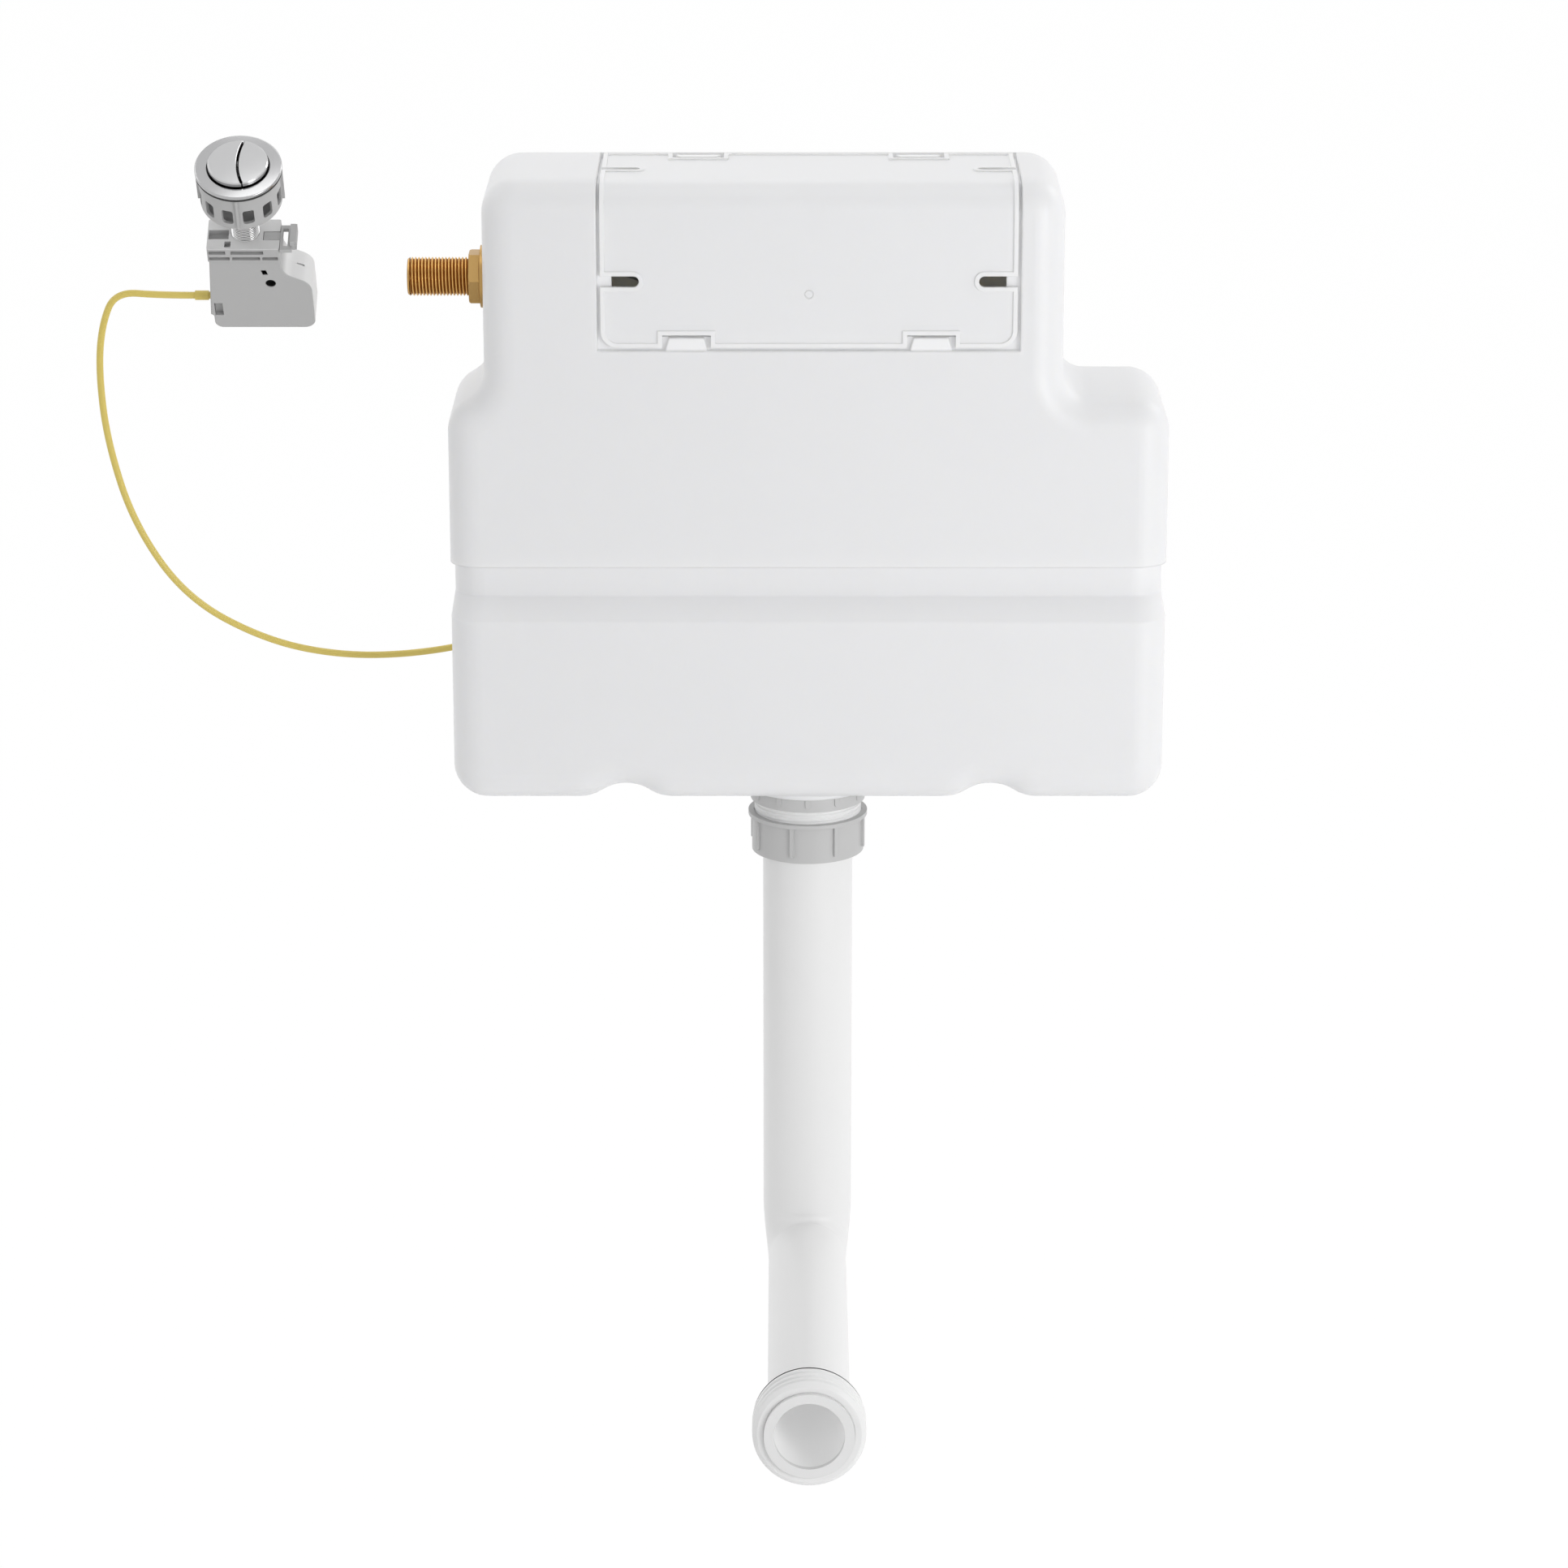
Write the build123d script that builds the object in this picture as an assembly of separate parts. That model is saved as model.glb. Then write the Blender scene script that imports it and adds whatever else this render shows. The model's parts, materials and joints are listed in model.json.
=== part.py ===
"""A compact concealed toilet cistern with a cable operated dual flush, in millimetres.

X runs to the viewer's right, Y towards the wall and Z up. The origin is the middle of the two wall fixings.
"""
import os
from math import atan2, cos, degrees, pi, radians, sin, sqrt, tan

from build123d import *

# Shared fits and clearances
overrun = 1.0            # how far a cutting form runs past what it cuts
body_gap = 0.3           # between pieces of different bodies
running_fit = 0.06       # radial play of a pin or slide
thread_play = 0.3        # radial play of a screwed joint

# Tank
tank_depth = 104.0
wall_gap = 10.0          # the rear face stands this far off the wall, on pads
tank_half_width = 195.0
left_step = 20.0         # how much narrower the upper part is, left and right
right_step = 58.0
tank_height = 345.0
fixing_below_top = 32.0
shoulder_below_top = 119.5
tank_wall = 3.0
corner_radius = 19.0     # of the front outline
edge_radius = 17.0       # between the front or rear face and the sides
shoulder_hollow_radius = 15.0
soft_shoulder_share = 0.98  # of the largest radius that the soft left shoulder takes
outlet_setback = 62.0    # outlet axis from the wall

scallop_x = 100.3
scallop_depth = 7.6
scallop_half_base = 18.6
scallop_half_top = 7.0
scallop_radius = 23.0

groove_depth = 8.0
groove_side_depth = 2.0
groove_top_above_bottom = 133.9
groove_height = 18.1
groove_ramp_height = 12.9
groove_ramp_inset_share = 0.28

outlet_boss_radius = 35.0
outlet_boss_drop = 3.6
outlet_boss_blend = 3.0

fixing_spacing = 160.0
fixing_hole_radius = 4.5
fixing_pad_radius = 14.0
foot_pad_radius = 12.0
foot_pad_inset = 35.0    # from the tank's side to the pad's middle
foot_pad_above_bottom = 33.0

# Access cover and its recess
cover_inset = 25.5       # from the upper part's right side to the cover's edge
cover_edge_play = 1.8    # between the cover's edge and the recess wall
cover_low_below_top = 89.4
cover_thickness = 1.8
cover_panel_inset = 0.9
cover_rim_width = 2.4
cover_rim_height = 2.8
cover_corner_radius = 9.5
recess_depth = 3.2
ledge_width = 7.6
cover_slot_half_height = 2.95
cover_slot_reach = 20.8
cover_slot_below_top = 53.4
cover_top_slot_from_front = 41.4
cover_notch_x = 65.5
cover_notch_width = 26.0
cover_notch_depth = 6.8
cover_rear_notch_x = 60.0
cover_rear_notch_width = 28.0
cover_rear_notch_depth = 14.0
latch_play = 1.6
latch_slant = 2.0
latch_inset = 1.2
gate_mark_radius = 2.5
gate_mark_width = 0.5
gate_mark_depth = 0.3
gate_mark_below_top = 60.3

# Water inlet: a half inch pipe thread through the left wall
inlet_below_top = 61.2
inlet_radius = 10.4775
inlet_pitch = 1.814
inlet_thread_depth = 1.162
inlet_reach = 42.3
inlet_bore_radius = 6.0
inlet_plain_end = 1.6
inlet_flange_radius = 17.0
inlet_flange_rim = 2.8
inlet_flange_thickness = 3.5
inlet_nut_across = 26.6
inlet_nut_thickness = 5.5
inlet_nut_chamfer = 1.0
inlet_washer_radius = 15.0
inlet_washer_thickness = 2.0
shank_flange_thickness = 3.0
shank_spigot_radius = 7.5
shank_spigot_length = 10.0

# Float valve
valve_socket_radius = 12.0
valve_socket_length = 25.0
valve_bore_radius = 4.5
valve_head_radius = 18.0
valve_head_length = 12.0
diaphragm_radius = 16.0
diaphragm_thickness = 1.6
valve_cap_length = 10.0
valve_cap_bore = 12.0
valve_cap_rib_count = 16
valve_cap_rib_width = 2.0
valve_cap_rib_rise = 1.0
valve_outlet_from_socket = 16.0
valve_outlet_radius = 6.0
valve_outlet_wall = 1.5
valve_outlet_drop = 26.0
silencer_radius = 8.0
silencer_length = 150.0
silencer_lap = 12.0
float_ear_length = 14.0
float_ear_thickness = 2.5
float_ear_half_gap = 7.0
float_ear_height = 12.0
float_pivot_rise = 8.0
float_pivot_out = 8.0
float_pin_radius = 1.5
float_hub_radius = 4.0
float_arm_length = 30.0
float_arm_height = 5.0
float_arm_width = 8.0
float_drop_angle = 20.0
float_screw_radius = 2.0
float_screw_rise = 8.0
float_screw_head_radius = 3.5
float_screw_head_height = 2.0
float_length = 40.0
float_width = 46.0
float_height = 36.0
float_wall = 2.0
float_corner = 6.0
float_below_arm = 26.0

# Flush valve, its tail and nuts
tail_radius = 29.8
tail_bore_radius = 25.0
tail_pitch = 2.309
tail_thread_depth = 1.479
tail_below_bottom = 30.0
tail_plain_start = 1.0
tail_plain_end = 3.0
base_flange_radius = 37.0
base_flange_thickness = 4.0
base_washer_radius = 34.5
base_washer_thickness = 3.0
base_collar_radius = 33.3
base_collar_height = 10.0
seat_radius = 27.0
seat_height = 2.7
backnut_radius = 31.9
backnut_height = 8.0
backnut_rib_count = 12
backnut_rib_width = 3.0
backnut_rib_rise = 0.6
backnut_rib_start = 2.2
coupling_below_bottom = 19.0
coupling_height = 22.6
coupling_radius = 31.2
coupling_rim_radius = 33.2
coupling_rim_height = 2.4
coupling_rib_count = 8
coupling_rib_width = 2.1
coupling_rib_rise = 1.6
coupling_rib_start = 3.1
coupling_rib_turn = -106.3
coupling_lip_height = 3.8
coupling_notch_width = 0.8
coupling_notch_depth = 0.8
seal_ring_thickness = 3.5

tower_radius = 36.0
tower_wall = 2.4
tower_height = 173.0
tower_window_low = 15.0
tower_window_height = 38.0
tower_window_width = 34.0
tower_cap_thickness = 4.0
overflow_radius = 13.0
overflow_wall = 1.6
overflow_top_below_top = 94.0
seal_disc_radius = 27.5
seal_disc_thickness = 3.0
seal_holder_radius = 26.0
seal_holder_thickness = 5.0
half_float_radius = 46.0
half_float_height = 34.0
half_float_wall = 1.8
half_float_above_floor = 62.0
bracket_half_span = 20.0
bracket_post_width = 6.0
bracket_post_depth = 12.0
bracket_bar_height = 4.0
bracket_top_below_top = 68.0
anchor_radius = 4.0
anchor_bore_radius = 1.3
anchor_length = 30.0
anchor_below_bar = 4.0
anchor_flange_radius = 6.0
anchor_flange_height = 2.0
hook_width = 6.0
hook_height = 4.0
lift_wire_radius = 0.7
lift_wire_length = 24.0

# Cable
sheath_radius = 1.9
bend_share = 0.45        # of the shorter run that a bend's arc takes up
inner_bend_radius = 18.0
elbow_below_top = 26.0
elbow_radius = 4.0
elbow_drop = 10.5
elbow_reach = 13.0
elbow_flange_radius = 7.0
elbow_flange_thickness = 1.6
elbow_clip_thickness = 2.0

# Flush pipe
pipe_radius = 25.0
pipe_wall = 2.4
pipe_end_radius = 22.0
pipe_flange_radius = 29.4
pipe_flange_thickness = 4.0
pipe_drop = 246.4        # from the pipe's flange to the level leg's axis
pipe_reach = 267.6       # from the outlet axis to the end of the level leg
bend_radius = 27.0
bend_section_count = 7
collar_radius = 30.15
collar_length = 20.2
collar_pitch = 5.7
collar_thread_depth = 1.0
collar_ring_count = 3
collar_from_end = 0.6
collar_chamfer = 2.4
outlet_seal_radius = 24.05
outlet_bore_radius = 18.7
outlet_seal_thickness = 3.0

# Free cable: the corners of its route, from the ferrule to the elbow's mouth
cable_route = (
    (-334.93, -46.74, -42.89),
    (-354, -46.74, -42.89),
    (-378.7, -46.2, -41),
    (-386.8, -45.2, -59.6),
    (-389.8, -43, -86),
    (-387.2, -39, -126.5),
    (-374.7, -34, -175.4),
    (-347.6, -28.5, -219.3),
    (-304.9, -22.5, -245.4),
    (-262.5, -16.5, -256.3),
    (-218.1, -11, -256.5),
    (-174.3, -6.5, -248.5),
    (-135, -5, -226),
    (-97, -5, -191),
    (-62, -5, -151),
    (-31, -5, -107),
    (-8, -5, -62),
    (0, -5, -30),
    (0, -5, -4.5),
)

# Button module, in its own tilted frame: Z up along the buttons' travel
module_x = -303.83
module_y = -100.0
module_z = 38.23
module_tilt = 35.0

ring_radius = 23.35
ring_well_radius = 17.0
ring_thickness = 1.6
ring_edge_radius = 0.7
ring_skirt_radius = 19.0
ring_skirt_bore = 17.2
ring_skirt_depth = 14.0
gasket_radius = 23.2
gasket_thickness = 1.6
cup_radius = 22.0
cup_wall = 1.8
cup_low = 27.5
cup_bottom_radius = 4.0
cup_collar_height = 4.0
cup_rib_width = 1.6
cup_rib_rise = 1.3
cup_window_count = 12
cup_window_width = 6.2
cup_window_high = 12.0
cup_window_low = 21.5
cup_window_radius = 1.5

button_radius = 16.2
button_travel = 6.0
button_top = 3.4
button_skirt = 6.0
button_wall = 1.6
button_roof = 2.0
button_chamfer = 0.6
button_split_x = 42.8
button_split_y = 1.0
button_split_radius = 43.0
button_split_gap = 0.7

rod_radius = 1.6
rod_offset = 2.9
rod_low = 75.2
rod_tip_chamfer = 0.9
rod_arm_reach = 7.0
rod_arm_width = 3.0
rod_arm_height = 1.5
spring_radius = 3.0
spring_bore_radius = 2.2
spring_x = 13.0
spring_height = 13.3

stem_radius = 7.6
stem_bore = 5.5
stem_low = 57.0
stem_pitch = 1.3
stem_thread_depth = 0.6
stem_flange_radius = 9.4
stem_flange_thickness = 1.5
stem_plain = 2.4

plate_left = -20.4
plate_right = 18.8
plate_front = -13.0
plate_back = 9.0
plate_high = 50.0
plate_low = 60.0
plate_edge_radius = 1.0
plate_slot_depth = 2.5

case_front = -12.6
case_split = -1.8
case_back = 9.0
case_wall = 1.6
case_edge_chamfer = 0.5
case_shoulder_radius = 9.9
case_foot_radius = 6.0
case_heel_radius = 4.5
case_rod_hole = 5.5
lever_x = 12.2
lever_z = 77.3
lever_hole_radius = 2.8
lever_pin_radius = 2.4
lever_pin_recess = 4.0
lever_boss_radius = 4.5
lever_boss_gap = 5.0
case_peep_x = 9.4
case_peep_z = 68.8
case_peep_width = 2.9
case_peep_height = 3.6
case_peep_lean = 1.0
case_window_left = -19.9
case_window_right = -15.3
case_window_high = 93.0
case_window_low = 102.5
case_window_depth = 3.0
case_nick_left = 26.0
case_nick_right = 30.0
case_nick_depth = 1.2

lever_thickness = 3.0
lever_hub_radius = 5.0
lever_nub_radius = 1.5
lever_nipple_radius = 2.2
full_arm_x = -12.7
full_arm_z = -19.7
half_arm_x = -7.2
half_arm_z = -12.0

ferrule_radius = 2.65
ferrule_start = 31.1
ferrule_shoulder = 23.7
ferrule_end = 17.0
ferrule_neck_radius = 2.0
ferrule_z = 97.0
pull_wire_radius = 0.6
pull_wire_end = 3.2

clip_loop_left = 19.1
clip_loop_right = 25.5
clip_front = -13.5
clip_back = 4.5
clip_high = 49.8
clip_low = 52.2
clip_band = 1.3
clip_thumb_left = 24.5
clip_thumb_right = 27.2
clip_thumb_front = -11.0
clip_thumb_back = 2.0
clip_thumb_high = 46.0
clip_thumb_low = 52.5
clip_rib_count = 5
clip_rib_size = 0.9
clip_tongue_start = 10.0
clip_tongue_front = -6.0
clip_tongue_back = 0.0
clip_tongue_sink = 0.5

# Worked out from the sizes above
upper_left = tank_half_width - left_step
upper_right = tank_half_width - right_step
tank_top = fixing_below_top
tank_bottom = tank_top - tank_height
shoulder_z = tank_top - shoulder_below_top
tank_rear = -wall_gap
tank_front = tank_rear - tank_depth
outlet_y = -outlet_setback
groove_top = tank_bottom + groove_top_above_bottom
groove_low = groove_top - groove_height
ramp_low = groove_low - groove_ramp_height
boss_low = tank_bottom - outlet_boss_drop
cover_half_width = upper_right - cover_inset
cover_low = tank_top - cover_low_below_top
cover_back = tank_rear - edge_radius
bend_z = tank_top - edge_radius
recess_half_width = cover_half_width + cover_edge_play
recess_low = cover_low - cover_edge_play
recess_back = cover_back + cover_edge_play
opening_half_width = recess_half_width - ledge_width - body_gap
opening_low = recess_low + ledge_width
opening_back = recess_back - ledge_width

# Shares of a thread ring: rise above the root, and place along the pitch
thread_ring_shares = ((0, 0.15), (1, 0.35), (1, 0.65), (0, 0.85))
collar_ring_shares = ((0, 0.12), (1, 0.3), (1, 0.62), (0, 0.88))

# Places worked out from the sizes above
slot_z = tank_top - cover_slot_below_top
top_slot_y = tank_front + cover_top_slot_from_front
gate_z = tank_top - gate_mark_below_top
foot_pad_x = tank_half_width - foot_pad_inset
foot_pad_z = tank_bottom + foot_pad_above_bottom
inlet_z = tank_top - inlet_below_top
inlet_tip_x = -upper_left - inlet_reach
valve_start_x = -upper_left + tank_wall + inlet_washer_thickness + shank_flange_thickness
valve_outlet_x = valve_start_x + valve_outlet_from_socket
valve_head_end_x = valve_start_x + valve_socket_length + valve_head_length
valve_cap_end_x = valve_head_end_x + valve_cap_length
float_pivot_x = valve_cap_end_x + float_pivot_out
float_pivot_z = inlet_z + float_pivot_rise
float_axis = Pos(float_pivot_x, outlet_y, float_pivot_z) * Rot(90, 0, 0)
float_hang = Pos(float_pivot_x, outlet_y, float_pivot_z) * Rot(0, float_drop_angle, 0)
floor_z = tank_bottom + tank_wall
base_flange_low = floor_z + base_washer_thickness
tail_low = tank_bottom - tail_below_bottom
seat_z = base_flange_low + base_flange_thickness + seat_height
seal_low = seat_z + body_gap
holder_top = seal_low + seal_disc_thickness + seal_holder_thickness
tower_low = base_flange_low + base_flange_thickness
tower_top = tower_low + tower_height
overflow_top = tank_top - overflow_top_below_top
bracket_top = tank_top - bracket_top_below_top
anchor_low = bracket_top - bracket_bar_height - anchor_below_bar
elbow_z = tank_top - elbow_below_top
cable_plane_y = -wall_gap / 2
elbow_end_y = cable_plane_y - elbow_reach
coupling_low = tank_bottom - coupling_below_bottom - coupling_height
pipe_top = tail_low - seal_ring_thickness
level_z = pipe_top - pipe_drop
pipe_end_y = outlet_y - pipe_reach
module = Pos(module_x, module_y, module_z) * Rot(module_tilt, 0, 0)
stem_fit = running_fit
gasket_low = -ring_thickness - gasket_thickness
cup_floor = cup_wall - cup_low

# Left, right, high and low below the module's origin
plate_slots = (
    (-19.5, -10.5, 51.8, 54.4),
    (-7.6, 10.0, 51.8, 54.4),
    (-19.6, -8.4, 56.4, 58.7),
    (-7.1, 8.0, 56.4, 58.7),
    (9.2, 17.6, 56.4, 58.7),
)
# Left, right, front, back and depth
plate_pockets = (
    (-19.8, -8.9, -5.6, 1.3, 3.5),
    (-10.9, -7.6, -11.5, -7.1, 3.0),
)
# The case's corners in its front plane, and their radii
case_points = (
    (-19.7, -60.0), (18.9, -60.0), (18.9, -69.5), (34.4, -77.5),
    (34.4, -112.5), (-20.6, -112.5), (-20.6, -103.5), (-22.3, -102.0),
)
case_radii = (0, 0, case_shoulder_radius, case_shoulder_radius, case_foot_radius, case_heel_radius, 0, 0)


def tank_outline():
    """The front outline: a stepped shape with a soft left shoulder and two scallops below."""
    step = tank_half_width - upper_left
    drop = shoulder_hollow_radius + corner_radius
    turn = 2 * atan2(step, drop)
    soft_radius = drop / sin(turn) / 2
    tangent = soft_radius * tan(turn / 2)
    soft_top = shoulder_z + shoulder_hollow_radius - tangent
    soft_low = shoulder_z - corner_radius + tangent
    points = [(-tank_half_width, tank_bottom)]
    radii = [corner_radius]
    for middle in (-scallop_x, scallop_x):
        points += [
            (middle - scallop_half_base, tank_bottom),
            (middle - scallop_half_top, tank_bottom + scallop_depth),
            (middle + scallop_half_top, tank_bottom + scallop_depth),
            (middle + scallop_half_base, tank_bottom),
        ]
        radii += [scallop_radius] * 4
    points += [
        (tank_half_width, tank_bottom),
        (tank_half_width, shoulder_z),
        (upper_right, shoulder_z),
        (upper_right, tank_top),
        (-upper_left, tank_top),
        (-upper_left, soft_top),
        (-tank_half_width, soft_low),
    ]
    radii += [corner_radius, corner_radius, shoulder_hollow_radius, corner_radius, corner_radius]
    radii += [soft_shoulder_share * soft_radius] * 2
    return make_face(FilletPolyline(*points, radius=radii, close=True))


def plan_at(half_width, front, rear, radius, height):
    """A rounded rectangle in plan, lying at a height."""
    return Pos(0, (front + rear) / 2, height) * RectangleRounded(2 * half_width, rear - front, radius)


def tank_form(inset):
    """The tank's closed form, drawn in by an inset on every side, with the groove round its waist."""
    outline = tank_outline()
    if inset > 0:
        outline = offset(outline, amount=-inset)
    front = tank_front + inset
    rear = tank_rear - inset
    form = extrude(Plane.XZ.offset(-rear) * outline, rear - front)
    faces = form.faces().filter_by(Axis.Y)
    form = fillet(faces.edges(), edge_radius - inset)
    radius = edge_radius - inset
    waist_half_width = tank_half_width - groove_side_depth - inset
    waist_front = front + groove_depth
    top = groove_top + inset
    low = groove_low - groove_ramp_inset_share * inset
    foot = ramp_low - groove_ramp_inset_share * inset
    band = Pos(0, tank_front, (top + foot) / 2) * Box(4 * tank_half_width, 4 * tank_depth, top - foot)
    waist = extrude(plan_at(waist_half_width, waist_front, rear, radius, low), top - low)
    ramp = loft([
        plan_at(tank_half_width - inset, front, rear, radius, foot),
        plan_at(waist_half_width, waist_front, rear, radius, low),
    ])
    return form - band + waist + ramp


def wrap_layer(outer, inner, half_width, low, back):
    """A bent plate that follows the tank's front and top, between two insets."""
    profile = FilletPolyline(
        (tank_front + outer, low),
        (tank_front + outer, tank_top - outer),
        (back, tank_top - outer),
        (back, tank_top - inner),
        (tank_front + inner, tank_top - inner),
        (tank_front + inner, low),
        radius=[0, edge_radius - outer, 0, 0, edge_radius - inner, 0],
        close=True,
    )
    return extrude(Plane.YZ * make_face(profile), half_width, both=True)


def bar(radius, length):
    """A round bar that stands on its own origin along Z."""
    return Cylinder(radius, length, align=(Align.CENTER, Align.CENTER, Align.MIN))


def tube(outer_radius, bore_radius, length):
    """A round tube that stands on its own origin along Z."""
    return bar(outer_radius, length) - Pos(0, 0, -overrun) * bar(bore_radius, length + 2 * overrun)


def block(low, high):
    """A box between two corners."""
    size = [b - a for a, b in zip(low, high)]
    return Pos(*low) * Box(*size, align=Align.MIN)


def ringed_bar(radius, length, pitch, depth, plain_start, plain_end):
    """A bar along Z with parallel rings for its thread, between two plain ends at the root radius."""
    root = radius - depth
    points = [(0, 0), (root, 0)]
    count = int((length - plain_start - plain_end) / pitch)
    for turn in range(count):
        z = plain_start + turn * pitch
        points += [(root + depth * share, z + pitch * rise) for share, rise in thread_ring_shares]
    points += [(root, length), (0, length)]
    return revolve(Plane.XZ * make_face(Polyline(*points, close=True)), Axis.Z)


def ribbed_ring(outer_radius, length, rib_count, rib_width, rib_rise, rib_start, first_turn):
    """Grip ribs round a bar along Z, with rounded lower ends, starting above its foot."""
    ribs = Part()
    for index in range(rib_count):
        low = rib_start + rib_width / 2
        reach = outer_radius + rib_rise
        rib = block((0, -rib_width / 2, low), (reach, rib_width / 2, length))
        foot = Pos(0, 0, low) * Rot(0, 90, 0) * bar(rib_width / 2, reach)
        ribs += Rot(0, 0, first_turn + index * 360 / rib_count) * (rib + foot)
    return ribs


def cover_front_plan(rim):
    """The cover's front in outline, drawn in by a rim along its true edges."""
    width = 2 * (cover_half_width - rim)
    height = bend_z - cover_low - rim
    plate = Pos(0, (cover_low + rim + bend_z) / 2) * Rectangle(width, height)
    plate = fillet(plate.vertices().group_by(Axis.Y)[0], cover_corner_radius - rim)
    reach = cover_slot_reach + overrun
    for side in (-1, 1):
        half = cover_slot_half_height + rim
        inner = cover_half_width - cover_slot_reach + cover_slot_half_height
        plate -= Pos(side * (inner + reach / 2), slot_z) * Rectangle(reach, 2 * half)
        plate -= Pos(side * inner, slot_z) * Circle(half)
        notch = Rectangle(cover_notch_width + 2 * rim, 2 * (cover_notch_depth + rim))
        plate -= Pos(side * cover_notch_x, cover_low) * notch
    return plate


def cover_top_plan(rim):
    """The cover's top in plan, drawn in by a rim along its true edges."""
    width = 2 * (cover_half_width - rim)
    beyond = tank_front - overrun
    plate = Pos(0, (cover_back - rim + beyond) / 2) * Rectangle(width, cover_back - rim - beyond)
    reach = cover_slot_reach + overrun
    for side in (-1, 1):
        half = cover_slot_half_height + rim
        inner = cover_half_width - cover_slot_reach + cover_slot_half_height
        plate -= Pos(side * (inner + reach / 2), top_slot_y) * Rectangle(reach, 2 * half)
        plate -= Pos(side * inner, top_slot_y) * Circle(half)
        notch = Rectangle(cover_rear_notch_width + 2 * rim, 2 * (cover_rear_notch_depth + rim))
        plate -= Pos(side * cover_rear_notch_x, cover_back) * notch
    return plate


def latch_tab(half_base, length):
    """A tapered tab in outline, standing on its base along local Y."""
    half_tip = half_base - latch_slant
    corners = [(-half_base, 0), (-half_tip, length), (half_tip, length), (half_base, 0)]
    return make_face(Polyline(*corners, close=True))


def make_tank_shell():
    """The moulded tank: walls, cover recess, access opening, latch tabs, outlet boss and wall pads."""
    outer = tank_form(0)
    boss_height = outlet_boss_drop + tank_wall
    outer += Pos(0, outlet_y, boss_low) * bar(outlet_boss_radius, boss_height)
    seam = outer.edges().filter_by(GeomType.CIRCLE).filter_by(
        lambda edge: abs(edge.radius - outlet_boss_radius) < running_fit)
    outer = fillet(seam.group_by(Axis.Z)[-1], outlet_boss_blend)
    for side in (-1, 1):
        outer += Pos(side * fixing_spacing / 2, tank_rear - tank_wall / 2, 0) * Rot(-90, 0, 0) * bar(
            fixing_pad_radius, wall_gap + tank_wall / 2)
        outer += Pos(side * foot_pad_x, tank_rear - tank_wall / 2, foot_pad_z) * Rot(-90, 0, 0) * bar(
            foot_pad_radius, wall_gap + tank_wall / 2)
    under_recess = recess_depth + tank_wall
    cavity = tank_form(tank_wall) - wrap_layer(
        -overrun,
        under_recess,
        recess_half_width + tank_wall,
        recess_low - tank_wall,
        recess_back + tank_wall,
    )
    shell = outer - cavity
    shell -= wrap_layer(-overrun, recess_depth, recess_half_width, recess_low, recess_back)
    shell -= wrap_layer(-overrun, under_recess + overrun, opening_half_width, opening_low, opening_back)
    front_tab_length = cover_low + cover_notch_depth - latch_play - recess_low
    rear_tab_length = ledge_width - body_gap
    tab_layer = wrap_layer(latch_inset, recess_depth + tank_wall / 2, recess_half_width,
                           recess_low, recess_back)
    for side in (-1, 1):
        front_tab = latch_tab(cover_notch_width / 2 - latch_play, front_tab_length)
        front_tab = Pos(side * cover_notch_x, recess_low) * front_tab
        shell += tab_layer & extrude(Plane.XZ * front_tab, -tank_front + overrun)
        rear_tab = latch_tab(cover_rear_notch_width / 2 - latch_play, rear_tab_length)
        rear_tab = Pos(side * cover_rear_notch_x, recess_back, 0) * Rot(0, 0, 180) * rear_tab
        shell += tab_layer & extrude(rear_tab, tank_top)
        hole = Pos(side * fixing_spacing / 2, overrun, 0) * Rot(90, 0, 0)
        shell -= hole * bar(fixing_hole_radius, wall_gap + tank_wall + 2 * overrun)
    shell -= Pos(-tank_half_width, outlet_y, inlet_z) * Rot(0, 90, 0) * bar(
        inlet_radius + thread_play, tank_half_width - upper_left + tank_wall + overrun)
    shell -= Pos(0, outlet_y, boss_low - overrun) * bar(
        tail_radius + thread_play, boss_height + 2 * overrun)
    shell -= Pos(0, tank_rear + overrun, elbow_z) * Rot(90, 0, 0) * bar(
        elbow_radius + running_fit, tank_wall + 2 * overrun)
    return shell


def make_access_cover():
    """The bent snap-on cover: a thin panel in a standing rim, with slots, notches and a gate mark."""
    under_panel = cover_panel_inset + cover_thickness
    panel = wrap_layer(cover_panel_inset, under_panel, cover_half_width, cover_low, cover_back)
    rim = wrap_layer(0, cover_rim_height, cover_half_width, cover_low, cover_back)
    depth = overrun - tank_front
    front_zone = extrude(Plane.XZ * cover_front_plan(0), depth)
    front_field = extrude(Plane.XZ * cover_front_plan(cover_rim_width), depth)
    top_zone = extrude(Pos(0, 0, bend_z) * cover_top_plan(0), edge_radius + overrun)
    top_field = extrude(Pos(0, 0, bend_z) * cover_top_plan(cover_rim_width), edge_radius + overrun)
    edges = (front_zone - front_field) + (top_zone - top_field)
    cover = (panel & (front_field + top_field)) + (rim & edges)
    gate = Pos(0, tank_front + cover_panel_inset - overrun, gate_z) * Rot(-90, 0, 0)
    mark = tube(gate_mark_radius, gate_mark_radius - gate_mark_width, overrun + gate_mark_depth)
    return cover - gate * mark


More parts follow.
